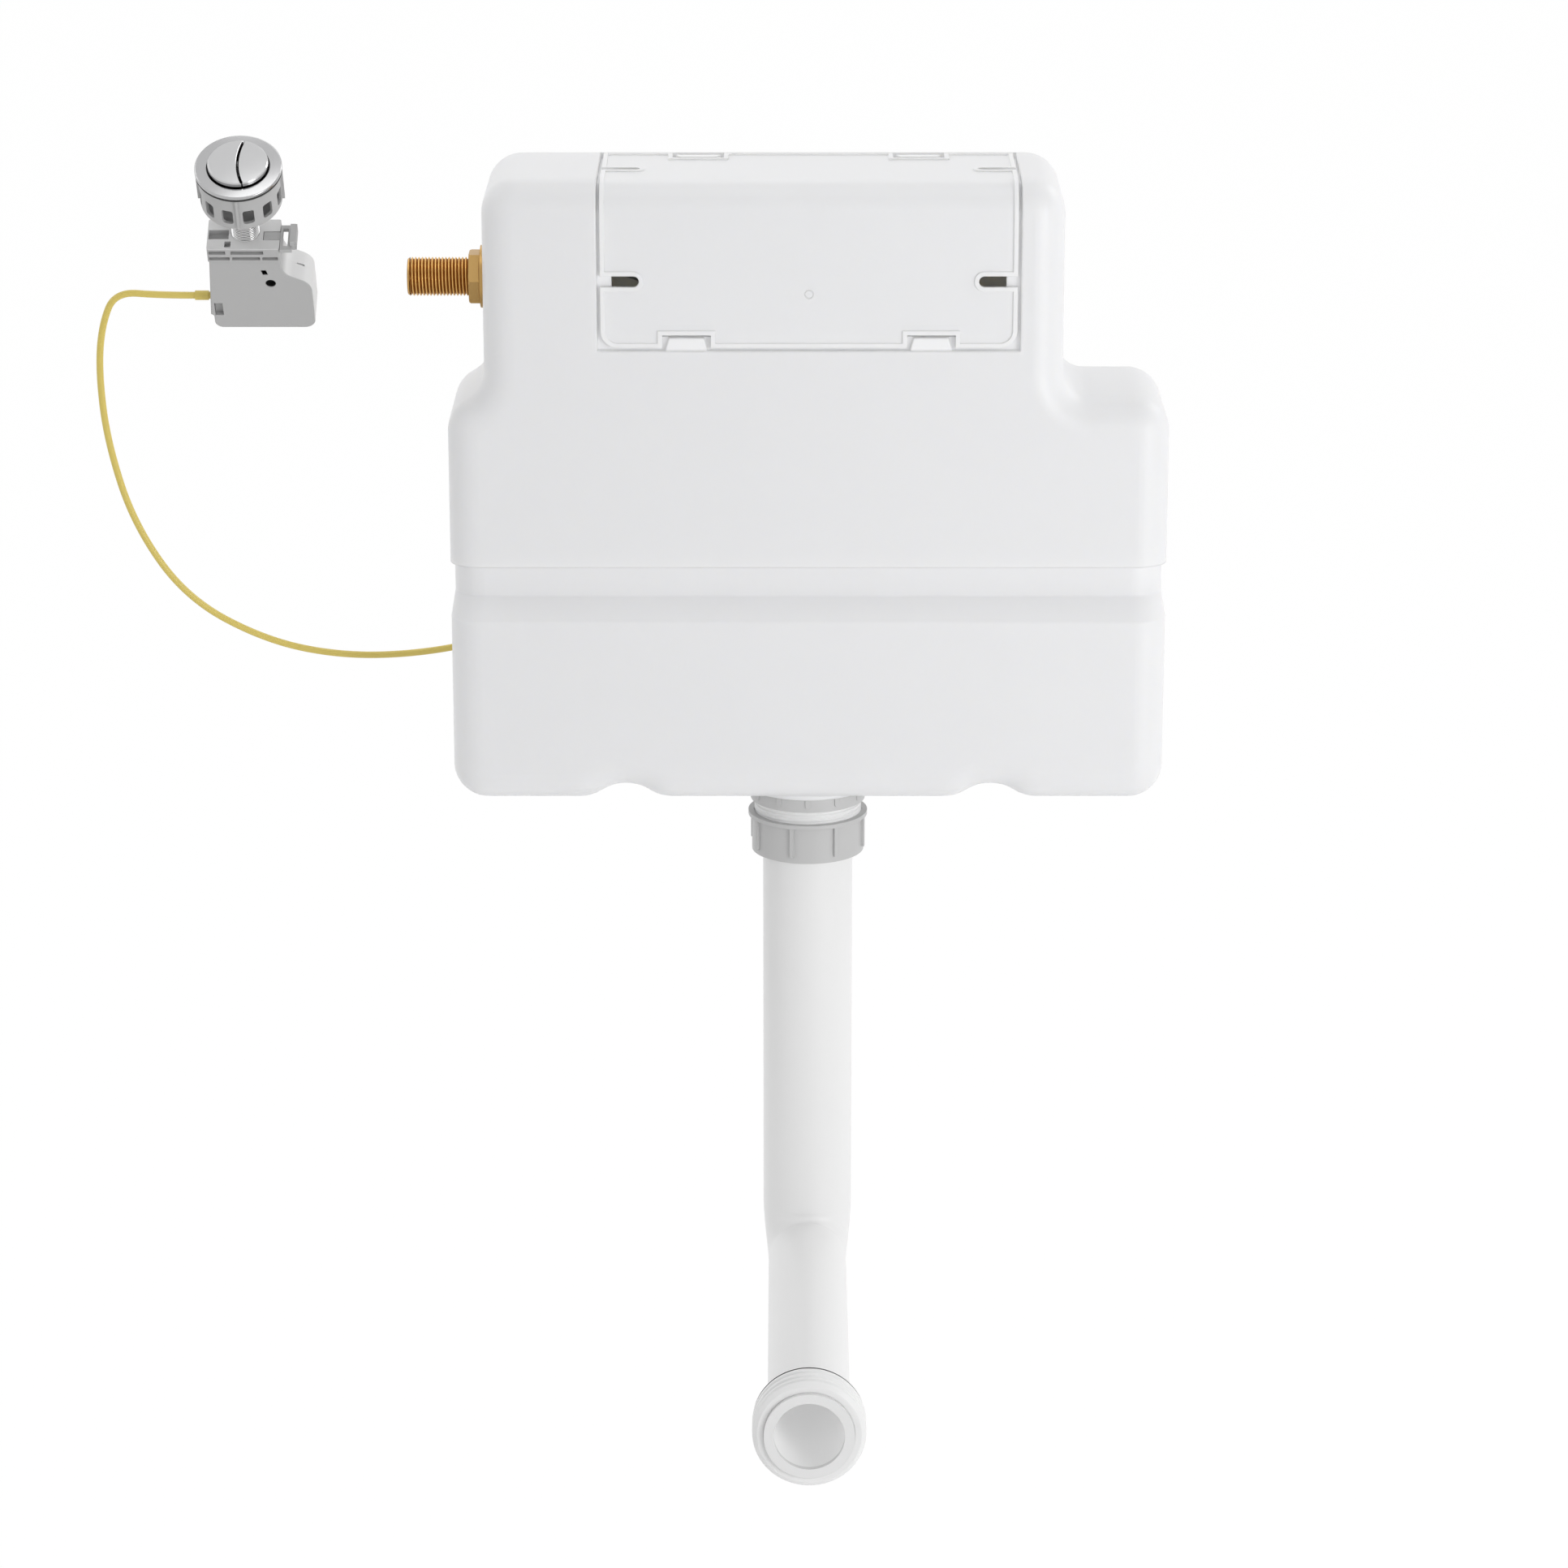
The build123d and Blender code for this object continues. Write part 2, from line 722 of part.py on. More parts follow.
def make_inlet_shank():
    """The brass shank: a threaded tail through the tank's wall, a flange inside it and a spigot."""
    thread = ringed_bar(inlet_radius, inlet_reach + tank_wall, inlet_pitch, inlet_thread_depth,
                        inlet_plain_end, inlet_plain_end)
    flange_start = inlet_reach + tank_wall + inlet_washer_thickness
    flange = Pos(0, 0, inlet_reach + tank_wall) * bar(inlet_radius, inlet_washer_thickness)
    flange += Pos(0, 0, flange_start) * bar(inlet_washer_radius, shank_flange_thickness)
    spigot_start = flange_start + shank_flange_thickness
    spigot = Pos(0, 0, spigot_start) * bar(shank_spigot_radius, shank_spigot_length)
    bore = Pos(0, 0, -overrun) * bar(inlet_bore_radius, spigot_start + shank_spigot_length + 2 * overrun)
    return Pos(inlet_tip_x, outlet_y, inlet_z) * Rot(0, 90, 0) * (thread + flange + spigot - bore)


def make_inlet_nut():
    """The brass hexagon nut outside the wall, with a flat above and below and a slightly conical flange."""
    slope = inlet_flange_thickness - inlet_flange_rim
    flange = bar(inlet_flange_radius, inlet_flange_rim)
    flange += Pos(0, 0, inlet_flange_rim) * Cone(
        inlet_flange_radius, inlet_nut_across / 2, slope, align=(Align.CENTER, Align.CENTER, Align.MIN))
    head_height = slope + inlet_nut_thickness
    head = extrude(Rot(0, 0, 90) * RegularPolygon(inlet_nut_across / 2, 6, major_radius=False), head_height)
    corner = inlet_nut_across / 2 / cos(pi / 6)
    dress = chamfer(bar(corner, head_height).faces().sort_by(Axis.Z)[-1].edges(), inlet_nut_chamfer)
    nut = flange + Pos(0, 0, inlet_flange_rim) * (head & dress)
    nut -= Pos(0, 0, -overrun) * bar(inlet_radius + running_fit, 4 * inlet_nut_thickness)
    return Pos(-upper_left, outlet_y, inlet_z) * Rot(0, -90, 0) * nut


def make_inlet_washer():
    """The rubber washer between the shank's flange and the wall."""
    washer = tube(inlet_washer_radius, inlet_radius + running_fit, inlet_washer_thickness)
    return Pos(-upper_left + tank_wall, outlet_y, inlet_z) * Rot(0, 90, 0) * washer


def make_fill_valve_body():
    """The float valve's body: a socket on the shank, a round head for the diaphragm and an outlet stub."""
    socket = bar(valve_socket_radius, valve_socket_length)
    length = valve_socket_length + valve_head_length
    body = socket + Pos(0, 0, valve_socket_length) * bar(valve_head_radius, valve_head_length)
    body -= Pos(0, 0, -overrun) * bar(shank_spigot_radius, shank_spigot_length + overrun)
    body -= Pos(0, 0, -overrun) * bar(valve_bore_radius, length + 2 * overrun)
    body -= Pos(0, 0, length - diaphragm_thickness) * bar(diaphragm_radius, 2 * diaphragm_thickness)
    stub = tube(valve_outlet_radius, valve_outlet_radius - valve_outlet_wall, valve_outlet_drop)
    along = Pos(valve_start_x, outlet_y, inlet_z) * Rot(0, 90, 0)
    drop = Pos(valve_outlet_x, outlet_y, inlet_z - valve_outlet_drop) * stub
    return along * body + (drop - along * bar(valve_bore_radius, valve_socket_length))


def make_valve_diaphragm():
    """The rubber diaphragm under the cap."""
    disc = tube(diaphragm_radius - running_fit, float_pin_radius, diaphragm_thickness)
    start = valve_head_end_x - diaphragm_thickness
    return Pos(start, outlet_y, inlet_z) * Rot(0, 90, 0) * disc


def make_diaphragm_cap():
    """The ribbed cap that holds the diaphragm, with two ears for the float arm's pin."""
    cap = bar(valve_head_radius, valve_cap_length)
    cap += ribbed_ring(valve_head_radius, valve_cap_length, valve_cap_rib_count, valve_cap_rib_width,
                       valve_cap_rib_rise, float_wall, 0)
    cap -= Pos(0, 0, -overrun) * bar(valve_cap_bore, valve_cap_length - float_wall + overrun)
    cap = Pos(valve_head_end_x, outlet_y, inlet_z) * Rot(0, 90, 0) * cap
    for side in (-1, 1):
        inner = outlet_y + side * float_ear_half_gap
        outer = inner + side * float_ear_thickness
        low_z = float_pivot_z - float_ear_height / 2
        cap += block((valve_cap_end_x - float_wall / 2, min(inner, outer), low_z),
                     (valve_cap_end_x + float_ear_length, max(inner, outer), low_z + float_ear_height))
    return cap - float_axis * Pos(0, 0, -float_width / 2) * bar(float_pin_radius, float_width)


def make_silencer_tube():
    """The tube that leads the inflow down quietly, pushed over the outlet stub."""
    silencer = tube(silencer_radius, valve_outlet_radius, silencer_length)
    top = inlet_z - valve_outlet_drop + silencer_lap
    return Pos(valve_outlet_x, outlet_y, top - silencer_length) * silencer


def make_float_pivot_pin():
    """The pin that the float arm swings on."""
    half = float_ear_half_gap + float_ear_thickness + body_gap
    return float_axis * Pos(0, 0, -half) * bar(float_pin_radius, 2 * half)


def make_float_arm():
    """The float arm, hanging at its lower stop."""
    hub_width = 2 * (float_ear_half_gap - body_gap)
    arm = Pos(0, hub_width / 2, 0) * Rot(90, 0, 0) * bar(float_hub_radius, hub_width)
    half_height = float_arm_height / 2
    arm += block((0, -float_arm_width / 2, -half_height),
                 (float_arm_length, float_arm_width / 2, half_height))
    arm += Pos(float_arm_length, 0, -half_height) * bar(float_hub_radius, float_arm_height)
    arm -= Pos(float_arm_length, 0, -float_arm_height) * bar(float_screw_radius, 2 * float_arm_height)
    arm -= Pos(0, float_width / 2, 0) * Rot(90, 0, 0) * bar(float_pin_radius + running_fit, float_width)
    return float_hang * arm


def make_float_screw():
    """The screw that sets the float's height on its arm."""
    length = float_screw_rise + float_below_arm + float_wall
    screw = Pos(0, 0, -float_below_arm - float_wall) * bar(float_screw_radius, length)
    screw += Pos(0, 0, float_screw_rise) * bar(float_screw_head_radius, float_screw_head_height)
    return float_hang * Pos(float_arm_length, 0, 0) * screw


def make_float_block():
    """The float: a box with rounded sides, open below."""
    middle = Pos(float_arm_length, 0, -float_below_arm - float_height / 2)
    body = Box(float_length, float_width, float_height)
    body = fillet(body.edges().filter_by(Axis.Z), float_corner)
    inner = Box(float_length - 2 * float_wall, float_width - 2 * float_wall, float_height)
    inner = fillet(inner.edges().filter_by(Axis.Z), float_corner - float_wall)
    body -= Pos(0, 0, -float_wall) * inner
    body -= Pos(0, 0, float_height / 2 - 2 * float_wall) * bar(float_screw_radius, 4 * float_wall)
    return float_hang * middle * body


def make_flush_valve_base():
    """The flush valve's base: a threaded tail, a flange on the floor, the tower's collar and the seat."""
    length = base_flange_low - tail_low
    base = ringed_bar(tail_radius, length, tail_pitch, tail_thread_depth, tail_plain_end, tail_plain_start)
    base += Pos(0, 0, length) * bar(base_flange_radius, base_flange_thickness)
    top = length + base_flange_thickness
    base += Pos(0, 0, top) * tube(base_collar_radius, base_collar_radius - tower_wall, base_collar_height)
    base += Pos(0, 0, top) * bar(seat_radius, seat_height)
    base -= Pos(0, 0, -overrun) * bar(tail_bore_radius, top + base_collar_height + 2 * overrun)
    return Pos(0, outlet_y, tail_low) * base


def make_base_washer():
    """The rubber washer under the flush valve's flange."""
    washer = tube(base_washer_radius, tail_radius + running_fit, base_washer_thickness)
    return Pos(0, outlet_y, floor_z) * washer


def make_outlet_backnut():
    """The ribbed nut that clamps the flush valve to the tank's floor."""
    nut = bar(backnut_radius, backnut_height) + ribbed_ring(
        backnut_radius, backnut_height, backnut_rib_count, backnut_rib_width, backnut_rib_rise,
        backnut_rib_start, -90)
    nut -= Pos(0, 0, -overrun) * bar(tail_radius + running_fit, backnut_height + 2 * overrun)
    return Pos(0, outlet_y, boss_low - backnut_height) * nut


def make_coupling_nut():
    """The ribbed nut with a standing rim that joins the flush pipe to the tail."""
    rim_start = coupling_height - coupling_rim_height
    nut = bar(coupling_radius, coupling_height)
    nut += Pos(0, 0, rim_start) * bar(coupling_rim_radius, coupling_rim_height)
    nut += ribbed_ring(coupling_radius, rim_start + overrun, coupling_rib_count, coupling_rib_width,
                       coupling_rib_rise, coupling_rib_start, coupling_rib_turn)
    nut -= Pos(0, 0, coupling_lip_height) * bar(tail_radius + running_fit, coupling_height)
    nut -= Pos(0, 0, -overrun) * bar(pipe_radius + body_gap, coupling_height)
    for index in range(coupling_rib_count):
        half = coupling_notch_width / 2
        notch = block((0, -half, coupling_height - coupling_notch_depth),
                      (tail_radius + coupling_notch_width, half, coupling_height + overrun))
        nut -= Rot(0, 0, -90 + index * 360 / coupling_rib_count) * notch
    return Pos(0, outlet_y, coupling_low) * nut


def make_pipe_seal_ring():
    """The rubber ring between the tail's end and the pipe's flange."""
    return Pos(0, outlet_y, pipe_top) * tube(pipe_flange_radius, tail_bore_radius, seal_ring_thickness)


def pipe_form(shrink):
    """The flush pipe's solid form, drawn in by the wall where a shrink is given, which narrows through the bend."""
    wide = pipe_radius - shrink
    narrow = pipe_end_radius - shrink
    bend_top = level_z + bend_radius
    sections = []
    for step in range(bend_section_count):
        share = step / (bend_section_count - 1)
        ease = share * share * (3 - 2 * share)
        turn = Pos(0, outlet_y - bend_radius, bend_top) * Rot(-90 * share, 0, 0) * Pos(0, bend_radius, 0)
        sections.append(turn * Circle(wide + (narrow - wide) * ease))
    upright = Pos(0, outlet_y, bend_top) * bar(wide, pipe_top - bend_top)
    level = Pos(0, outlet_y - bend_radius, level_z) * Rot(90, 0, 0) * bar(narrow, pipe_reach - bend_radius)
    return upright + loft(sections) + level


def make_flush_pipe():
    """The flush pipe: an upright leg, a narrowing bend and a level leg towards the pan."""
    pipe = pipe_form(0)
    flange_low = pipe_top - pipe_flange_thickness
    pipe += Pos(0, outlet_y, flange_low) * bar(pipe_flange_radius, pipe_flange_thickness)
    hollow = pipe_form(pipe_wall)
    hollow += Pos(0, outlet_y, pipe_top - overrun) * bar(pipe_radius - pipe_wall, 2 * overrun)
    hollow += Pos(0, pipe_end_y + overrun, level_z) * Rot(90, 0, 0) * bar(
        pipe_end_radius - pipe_wall, 2 * overrun)
    return pipe - hollow


def make_outlet_collar():
    """The threaded collar on the pipe's end, with coarse rings and a chamfered mouth that holds the seal."""
    root = collar_radius - collar_thread_depth
    points = [(0, 0), (root, 0)]
    for turn in range(collar_ring_count):
        start = turn * collar_pitch
        points += [(root + collar_thread_depth * share, start + collar_pitch * rise)
                   for share, rise in collar_ring_shares]
    end = collar_length
    points += [(collar_radius, end - collar_chamfer), (collar_radius - collar_chamfer, end), (0, end)]
    collar = revolve(Plane.XZ * make_face(Polyline(*points, close=True)), Axis.Z)
    collar -= Pos(0, 0, -overrun) * bar(pipe_end_radius, collar_length + 2 * overrun)
    collar -= Pos(0, 0, collar_length - collar_from_end) * bar(outlet_seal_radius, 2 * overrun)
    return Pos(0, pipe_end_y - collar_from_end + collar_length, level_z) * Rot(90, 0, 0) * collar


def make_outlet_seal():
    """The seal ring on the pipe's mouth."""
    ring = tube(outlet_seal_radius, outlet_bore_radius, outlet_seal_thickness)
    return Pos(0, pipe_end_y, level_z) * Rot(90, 0, 0) * ring


def make_flush_tower():
    """The flush valve's tower: a tube that stands on four legs."""
    tower = tube(tower_radius, tower_radius - tower_wall, tower_height)
    for turn in (0, 90):
        window = block((-tower_window_width / 2, -2 * tower_radius, tower_window_low),
                       (tower_window_width / 2, 2 * tower_radius, tower_window_low + tower_window_height))
        tower -= Rot(0, 0, turn) * window
    return Pos(0, outlet_y, tower_low) * tower


def make_tower_cap():
    """The tower's lid, which guides the overflow tube."""
    cap = tube(tower_radius, overflow_radius + body_gap, tower_cap_thickness)
    return Pos(0, outlet_y, tower_top) * cap


def make_overflow_tube():
    """The overflow tube, which lifts with the flush valve's seal."""
    return Pos(0, outlet_y, holder_top) * tube(overflow_radius, overflow_radius - overflow_wall,
                                               overflow_top - holder_top)


def make_seal_holder():
    """The disc at the foot of the overflow tube."""
    holder = tube(seal_holder_radius, overflow_radius - overflow_wall, seal_holder_thickness)
    return Pos(0, outlet_y, holder_top - seal_holder_thickness) * holder


def make_valve_seal():
    """The soft seal that rests on the seat."""
    seal = tube(seal_disc_radius, overflow_radius - overflow_wall, seal_disc_thickness)
    return Pos(0, outlet_y, seal_low) * seal


def make_half_flush_float():
    """The cup round the tower that closes the valve early on a half flush, open above."""
    cup = tube(half_float_radius, tower_radius, half_float_height)
    trough = tube(half_float_radius - half_float_wall, tower_radius + half_float_wall, half_float_height)
    cup -= Pos(0, 0, half_float_wall) * trough
    return Pos(0, outlet_y, floor_z + half_float_above_floor) * cup


def make_lift_hook():
    """The bar across the overflow tube's mouth that the cable pulls."""
    reach = overflow_radius
    hook = block((-reach, -hook_width / 2, 0), (reach, hook_width / 2, hook_height))
    return Pos(0, outlet_y, overflow_top) * hook


def make_lift_wire():
    """The end of the inner wire, from the hook up into the cable anchor."""
    return Pos(0, outlet_y, overflow_top + hook_height) * bar(lift_wire_radius, lift_wire_length)


def make_cable_bracket():
    """The frame on the tower's lid that holds the cable anchor over the overflow tube."""
    low = tower_top + tower_cap_thickness
    half_depth = bracket_post_depth / 2
    outer = bracket_half_span + bracket_post_width
    frame = block((-outer, -half_depth, low), (outer, half_depth, bracket_top))
    frame -= block((-bracket_half_span, -bracket_post_depth, low - overrun),
                   (bracket_half_span, bracket_post_depth, bracket_top - bracket_bar_height))
    frame -= Pos(0, 0, bracket_top - 2 * bracket_bar_height) * bar(anchor_radius, 4 * bracket_bar_height)
    return Pos(0, outlet_y, 0) * frame


def make_cable_anchor():
    """The sleeve that holds the cable's sheath above the hook."""
    anchor = bar(anchor_radius, anchor_length)
    flange_low = anchor_below_bar + bracket_bar_height
    anchor += Pos(0, 0, flange_low) * bar(anchor_flange_radius, anchor_flange_height)
    anchor -= Pos(0, 0, -overrun) * bar(anchor_bore_radius, anchor_length - anchor_below_bar + overrun)
    return Pos(0, outlet_y, anchor_low) * anchor


def make_inner_sheath():
    """The sheath inside the tank, from the anchor over to the elbow in the rear wall."""
    points = [(0, outlet_y, anchor_low + anchor_length), (0, outlet_y, elbow_z), (0, elbow_end_y, elbow_z)]
    path = FilletPolyline(*points, radius=[inner_bend_radius])
    section = Plane(points[0], z_dir=(0, 0, 1)) * Circle(sheath_radius)
    return sweep(section, path)


def make_cable_elbow():
    """The stiff elbow that turns the cable through the rear wall, with its flange outside."""
    down = Pos(0, cable_plane_y, elbow_z - elbow_drop) * bar(elbow_radius, elbow_drop)
    knuckle = Pos(0, cable_plane_y, elbow_z) * Sphere(elbow_radius)
    through = Pos(0, cable_plane_y, elbow_z) * Rot(90, 0, 0) * bar(elbow_radius, cable_plane_y - elbow_end_y)
    flange = Pos(0, tank_rear + elbow_flange_thickness, elbow_z) * Rot(90, 0, 0) * bar(
        elbow_flange_radius, elbow_flange_thickness)
    return down + knuckle + through + flange


def make_elbow_clip():
    """The clip that holds the elbow inside the wall."""
    clip = tube(elbow_flange_radius, elbow_radius, elbow_clip_thickness)
    return Pos(0, tank_rear - tank_wall, elbow_z) * Rot(90, 0, 0) * clip


def bend_radii(points):
    """The radius of each bend of a route, from its shorter run and how far it turns."""
    runs = [Vector(*b) - Vector(*a) for a, b in zip(points, points[1:])]
    radii = []
    for before, after in zip(runs, runs[1:]):
        half_turn = radians(before.get_angle(after)) / 2
        radii.append(bend_share * min(before.length, after.length) / tan(half_turn))
    return radii


def make_cable_sheath():
    """The free cable from the ferrule round the tank's left side and up behind it to the elbow."""
    path = FilletPolyline(*cable_route, radius=bend_radii(cable_route))
    section = Plane(cable_route[0], z_dir=path % 0) * Circle(sheath_radius)
    return sweep(section, path)


def make_button_ring():
    """The chromed ring that shows on the panel, with a skirt round the buttons' well."""
    ring = tube(ring_radius, ring_well_radius, ring_thickness)
    rim = ring.edges().filter_by(GeomType.CIRCLE).filter_by(
        lambda edge: abs(edge.radius - ring_radius) < running_fit).sort_by(Axis.Z)
    ring = fillet(rim[-1], ring_edge_radius)
    skirt = Pos(0, 0, ring_thickness - ring_skirt_depth) * tube(
        ring_skirt_radius, ring_skirt_bore, ring_skirt_depth - ring_thickness / 2)
    return module * Pos(0, 0, -ring_thickness) * (ring + skirt)


def make_panel_gasket():
    """The black gasket under the ring."""
    return module * Pos(0, 0, gasket_low) * tube(gasket_radius, ring_skirt_radius, gasket_thickness)


def make_button_cup():
    """The windowed cup under the ring, with four ribs and a hole for the threaded stem."""
    profile = FilletPolyline(
        (stem_radius + stem_fit, -cup_low),
        (cup_radius, -cup_low),
        (cup_radius, gasket_low),
        (ring_skirt_radius, gasket_low),
        (ring_skirt_radius, gasket_low - cup_collar_height),
        (cup_radius - cup_wall, gasket_low - cup_collar_height),
        (cup_radius - cup_wall, cup_floor),
        (stem_radius + stem_fit, cup_floor),
        radius=[0, cup_bottom_radius, 0, 0, 0, 0, cup_bottom_radius - cup_wall, 0],
        close=True,
    )
    cup = revolve(Plane.XZ * make_face(profile), Axis.Z)
    rib_height = gasket_low + cup_low - cup_bottom_radius
    for index in range(4):
        rib = block((cup_radius - cup_wall / 2, -cup_rib_width / 2, gasket_low - rib_height),
                    (cup_radius + cup_rib_rise, cup_rib_width / 2, gasket_low))
        cup += Rot(0, 0, index * 90) * rib
    middle = -(cup_window_high + cup_window_low) / 2
    window = extrude(Plane.YZ * Pos(0, middle) * RectangleRounded(
        cup_window_width, cup_window_low - cup_window_high, cup_window_radius), cup_radius + overrun)
    for index in range(cup_window_count):
        cup -= Rot(0, 0, (index + 0.5) * 360 / cup_window_count) * window
    return module * cup


def button_outline(full):
    """One half of the split button in plan: the full flush half is the larger one, on the left."""
    half_gap = button_split_gap / 2
    split = Pos(button_split_x, button_split_y)
    if full:
        return Circle(button_radius) - split * Circle(button_split_radius + half_gap)
    return Circle(button_radius) & split * Circle(button_split_radius - half_gap)


def make_button(full):
    """A hollow button half with a softened top edge."""
    outline = button_outline(full)
    body = Pos(0, 0, -button_skirt) * extrude(outline, button_skirt + button_top)
    body = chamfer(body.faces().sort_by(Axis.Z)[-1].edges(), button_chamfer)
    hollow = extrude(offset(outline, amount=-button_wall), button_skirt + button_top - button_roof + overrun)
    return module * (body - Pos(0, 0, -button_skirt - overrun) * hollow)


def make_push_rod(side):
    """A push rod down through the stem, with a side arm below both buttons' travel and a post up to its own."""
    y = side * rod_offset
    arm_x = side * rod_arm_reach
    arm_high = -button_skirt - button_travel - body_gap
    arm_low = arm_high - rod_arm_height
    rod = Pos(0, y, -rod_low) * bar(rod_radius, rod_low + arm_high)
    rod = chamfer(rod.edges().group_by(Axis.Z)[0], rod_tip_chamfer)
    half = rod_arm_width / 2
    rod += block((min(0, arm_x), y - half, arm_low), (max(0, arm_x), y + half, arm_high))
    rod += Pos(arm_x, y, arm_low) * bar(half, button_top - button_roof - arm_low)
    return module * rod


def make_return_spring(side):
    """A button's return spring as a plain tube, at its length under a pressed button."""
    return module * Pos(side * spring_x, side * rod_offset, cup_floor) * tube(
        spring_radius, spring_bore_radius, spring_height)


def make_threaded_tube():
    """The chromed threaded stem from the cup down to the adapter plate, with a flange in the cup."""
    length = stem_low + cup_floor
    stem = ringed_bar(stem_radius, length, stem_pitch, stem_thread_depth, stem_pitch, stem_plain)
    stem += Pos(0, 0, length) * bar(stem_flange_radius, stem_flange_thickness)
    stem -= Pos(0, 0, -overrun) * bar(stem_bore, length + stem_flange_thickness + 2 * overrun)
    return module * Pos(0, 0, -stem_low) * stem


def make_adapter_plate():
    """The plate between the stem and the case, with moulded slots and pockets and a slot for the clip."""
    plate = block((plate_left, plate_front, -plate_low), (plate_right, plate_back, -plate_high))
    plate = fillet(plate.edges().filter_by(Axis.Z), plate_edge_radius)
    plate -= Pos(0, 0, -plate_low - overrun) * bar(stem_radius + stem_fit, plate_low)
    for left, right, high, low in plate_slots:
        plate -= block((left, plate_front - overrun, -low), (right, plate_front + plate_slot_depth, -high))
    for left, right, front, back, depth in plate_pockets:
        plate -= block((left, front, -plate_high - depth), (right, back, overrun - plate_high))
    plate -= block((clip_tongue_start - body_gap, clip_tongue_front - body_gap, -clip_low - body_gap),
                   (plate_right + overrun, clip_tongue_back + body_gap, overrun - plate_high))
    return module * plate


def make_latch_clip():
    """The sliding clip at the plate's right end: a tongue in the plate, a loop and a ribbed thumb piece."""
    loop = block((clip_loop_left, clip_front, -clip_low), (clip_loop_right, clip_back, -clip_high))
    loop -= block((clip_loop_left + clip_band, clip_front + 2 * clip_band, -clip_low - overrun),
                  (clip_thumb_left - clip_band, clip_back - 2 * clip_band, overrun - clip_high))
    thumb = block((clip_thumb_left, clip_thumb_front, -clip_thumb_low),
                  (clip_thumb_right, clip_thumb_back, -clip_thumb_high))
    tongue = block((clip_tongue_start, clip_tongue_front, -clip_low),
                   (clip_loop_left + clip_band, clip_tongue_back, -clip_high - clip_tongue_sink))
    clip = loop + thumb + tongue
    step = (clip_thumb_low - clip_thumb_high) / clip_rib_count
    for index in range(clip_rib_count):
        middle = -clip_thumb_low + (index + 0.5) * step
        clip += block((clip_thumb_right - clip_rib_size / 2, clip_thumb_front, middle - clip_rib_size / 2),
                      (clip_thumb_right + clip_rib_size, clip_thumb_back, middle + clip_rib_size / 2))
    return module * clip


def case_outline(inset):
    """The case's front outline, with a curved shoulder on the right and a step at the cable's side."""
    outline = make_face(FilletPolyline(*case_points, radius=case_radii, close=True))
    return offset(outline, amount=-inset, kind=Kind.INTERSECTION) if inset > 0 else outline


def case_half(front, back, open_back):
    """One half of the case, closed on its outer side and open on the other."""
    body = extrude(Plane.XZ.offset(-back) * case_outline(0), back - front)
    outer_face = body.faces().sort_by(Axis.Y)[0 if open_back else -1]
    body = chamfer(outer_face.edges(), case_edge_chamfer)
    inner_front = front + case_wall if open_back else front - overrun
    inner_back = back + overrun if open_back else back - case_wall
    body -= extrude(Plane.XZ.offset(-inner_back) * case_outline(case_wall), inner_back - inner_front)
    body -= Pos(0, 0, -plate_low - 2 * case_wall) * bar(case_rod_hole, 4 * case_wall)
    body -= Pos(-ferrule_start, -rod_offset, -ferrule_z) * Rot(0, 90, 0) * bar(
        ferrule_neck_radius + running_fit, ferrule_start - ferrule_end)
    return body


def along_pin(radius, front, back):
    """A bar on the levers' axis between two depths."""
    return Pos(lever_x, back, -lever_z) * Rot(90, 0, 0) * bar(radius, back - front)


def make_actuator_case_front():
    """The case's front half, with a boss round the levers' pin, a peep hole and a window by the cable."""
    case = case_half(case_front, case_split, True)
    case += along_pin(lever_boss_radius, case_front + case_wall / 2, -lever_boss_gap)
    case -= along_pin(lever_pin_radius + running_fit, case_front + lever_pin_recess, case_split)
    case -= along_pin(lever_hole_radius, case_front - overrun, case_front + lever_pin_recess)
    half_width = case_peep_width / 2
    half_height = case_peep_height / 2
    half_lean = case_peep_lean / 2
    peep = Polyline(
        (case_peep_x - half_lean - half_width, -case_peep_z + half_height),
        (case_peep_x - half_lean + half_width, -case_peep_z + half_height),
        (case_peep_x + half_lean + half_width, -case_peep_z - half_height),
        (case_peep_x + half_lean - half_width, -case_peep_z - half_height),
        close=True,
    )
    case -= extrude(Plane.XZ.offset(-case_front - case_wall) * make_face(peep), case_wall + overrun)
    case += block((case_window_left, case_front + case_wall / 2, -case_window_low - case_wall),
                  (case_window_right + case_wall, case_front + case_window_depth + case_wall,
                   case_wall - case_window_high))
    case -= block((case_window_left, case_front - overrun, -case_window_low),
                  (case_window_right, case_front + case_window_depth, -case_window_high))
    return module * case


def make_actuator_case_back():
    """The case's back half, with a boss for the levers' pin and a small nick on its shoulder."""
    case = case_half(case_split, case_back, False)
    case += along_pin(lever_boss_radius, lever_boss_gap, case_back - case_wall / 2)
    case -= along_pin(lever_pin_radius + running_fit, case_split, case_back - case_wall / 2)
    case -= block((case_nick_left, case_split - overrun, -lever_z - case_wall),
                  (case_nick_right, case_split + case_nick_depth, -plate_low))
    return module * case


def make_lever_pin():
    """The pin that both levers turn on."""
    return module * along_pin(lever_pin_radius, case_front + lever_pin_recess, case_back - case_wall / 2)


def link(start, end, radius, thickness):
    """A flat link with round ends between two points of the front plane, centred on its thickness."""
    reach = sqrt((end[0] - start[0]) ** 2 + (end[1] - start[1]) ** 2)
    turn = degrees(atan2(end[1] - start[1], end[0] - start[0]))
    shape = Pos(reach / 2, 0) * SlotCenterToCenter(reach, 2 * radius)
    flat = extrude(Plane.XZ * Rot(0, 0, turn) * shape, thickness / 2, both=True)
    return Pos(start[0], 0, start[1]) * flat


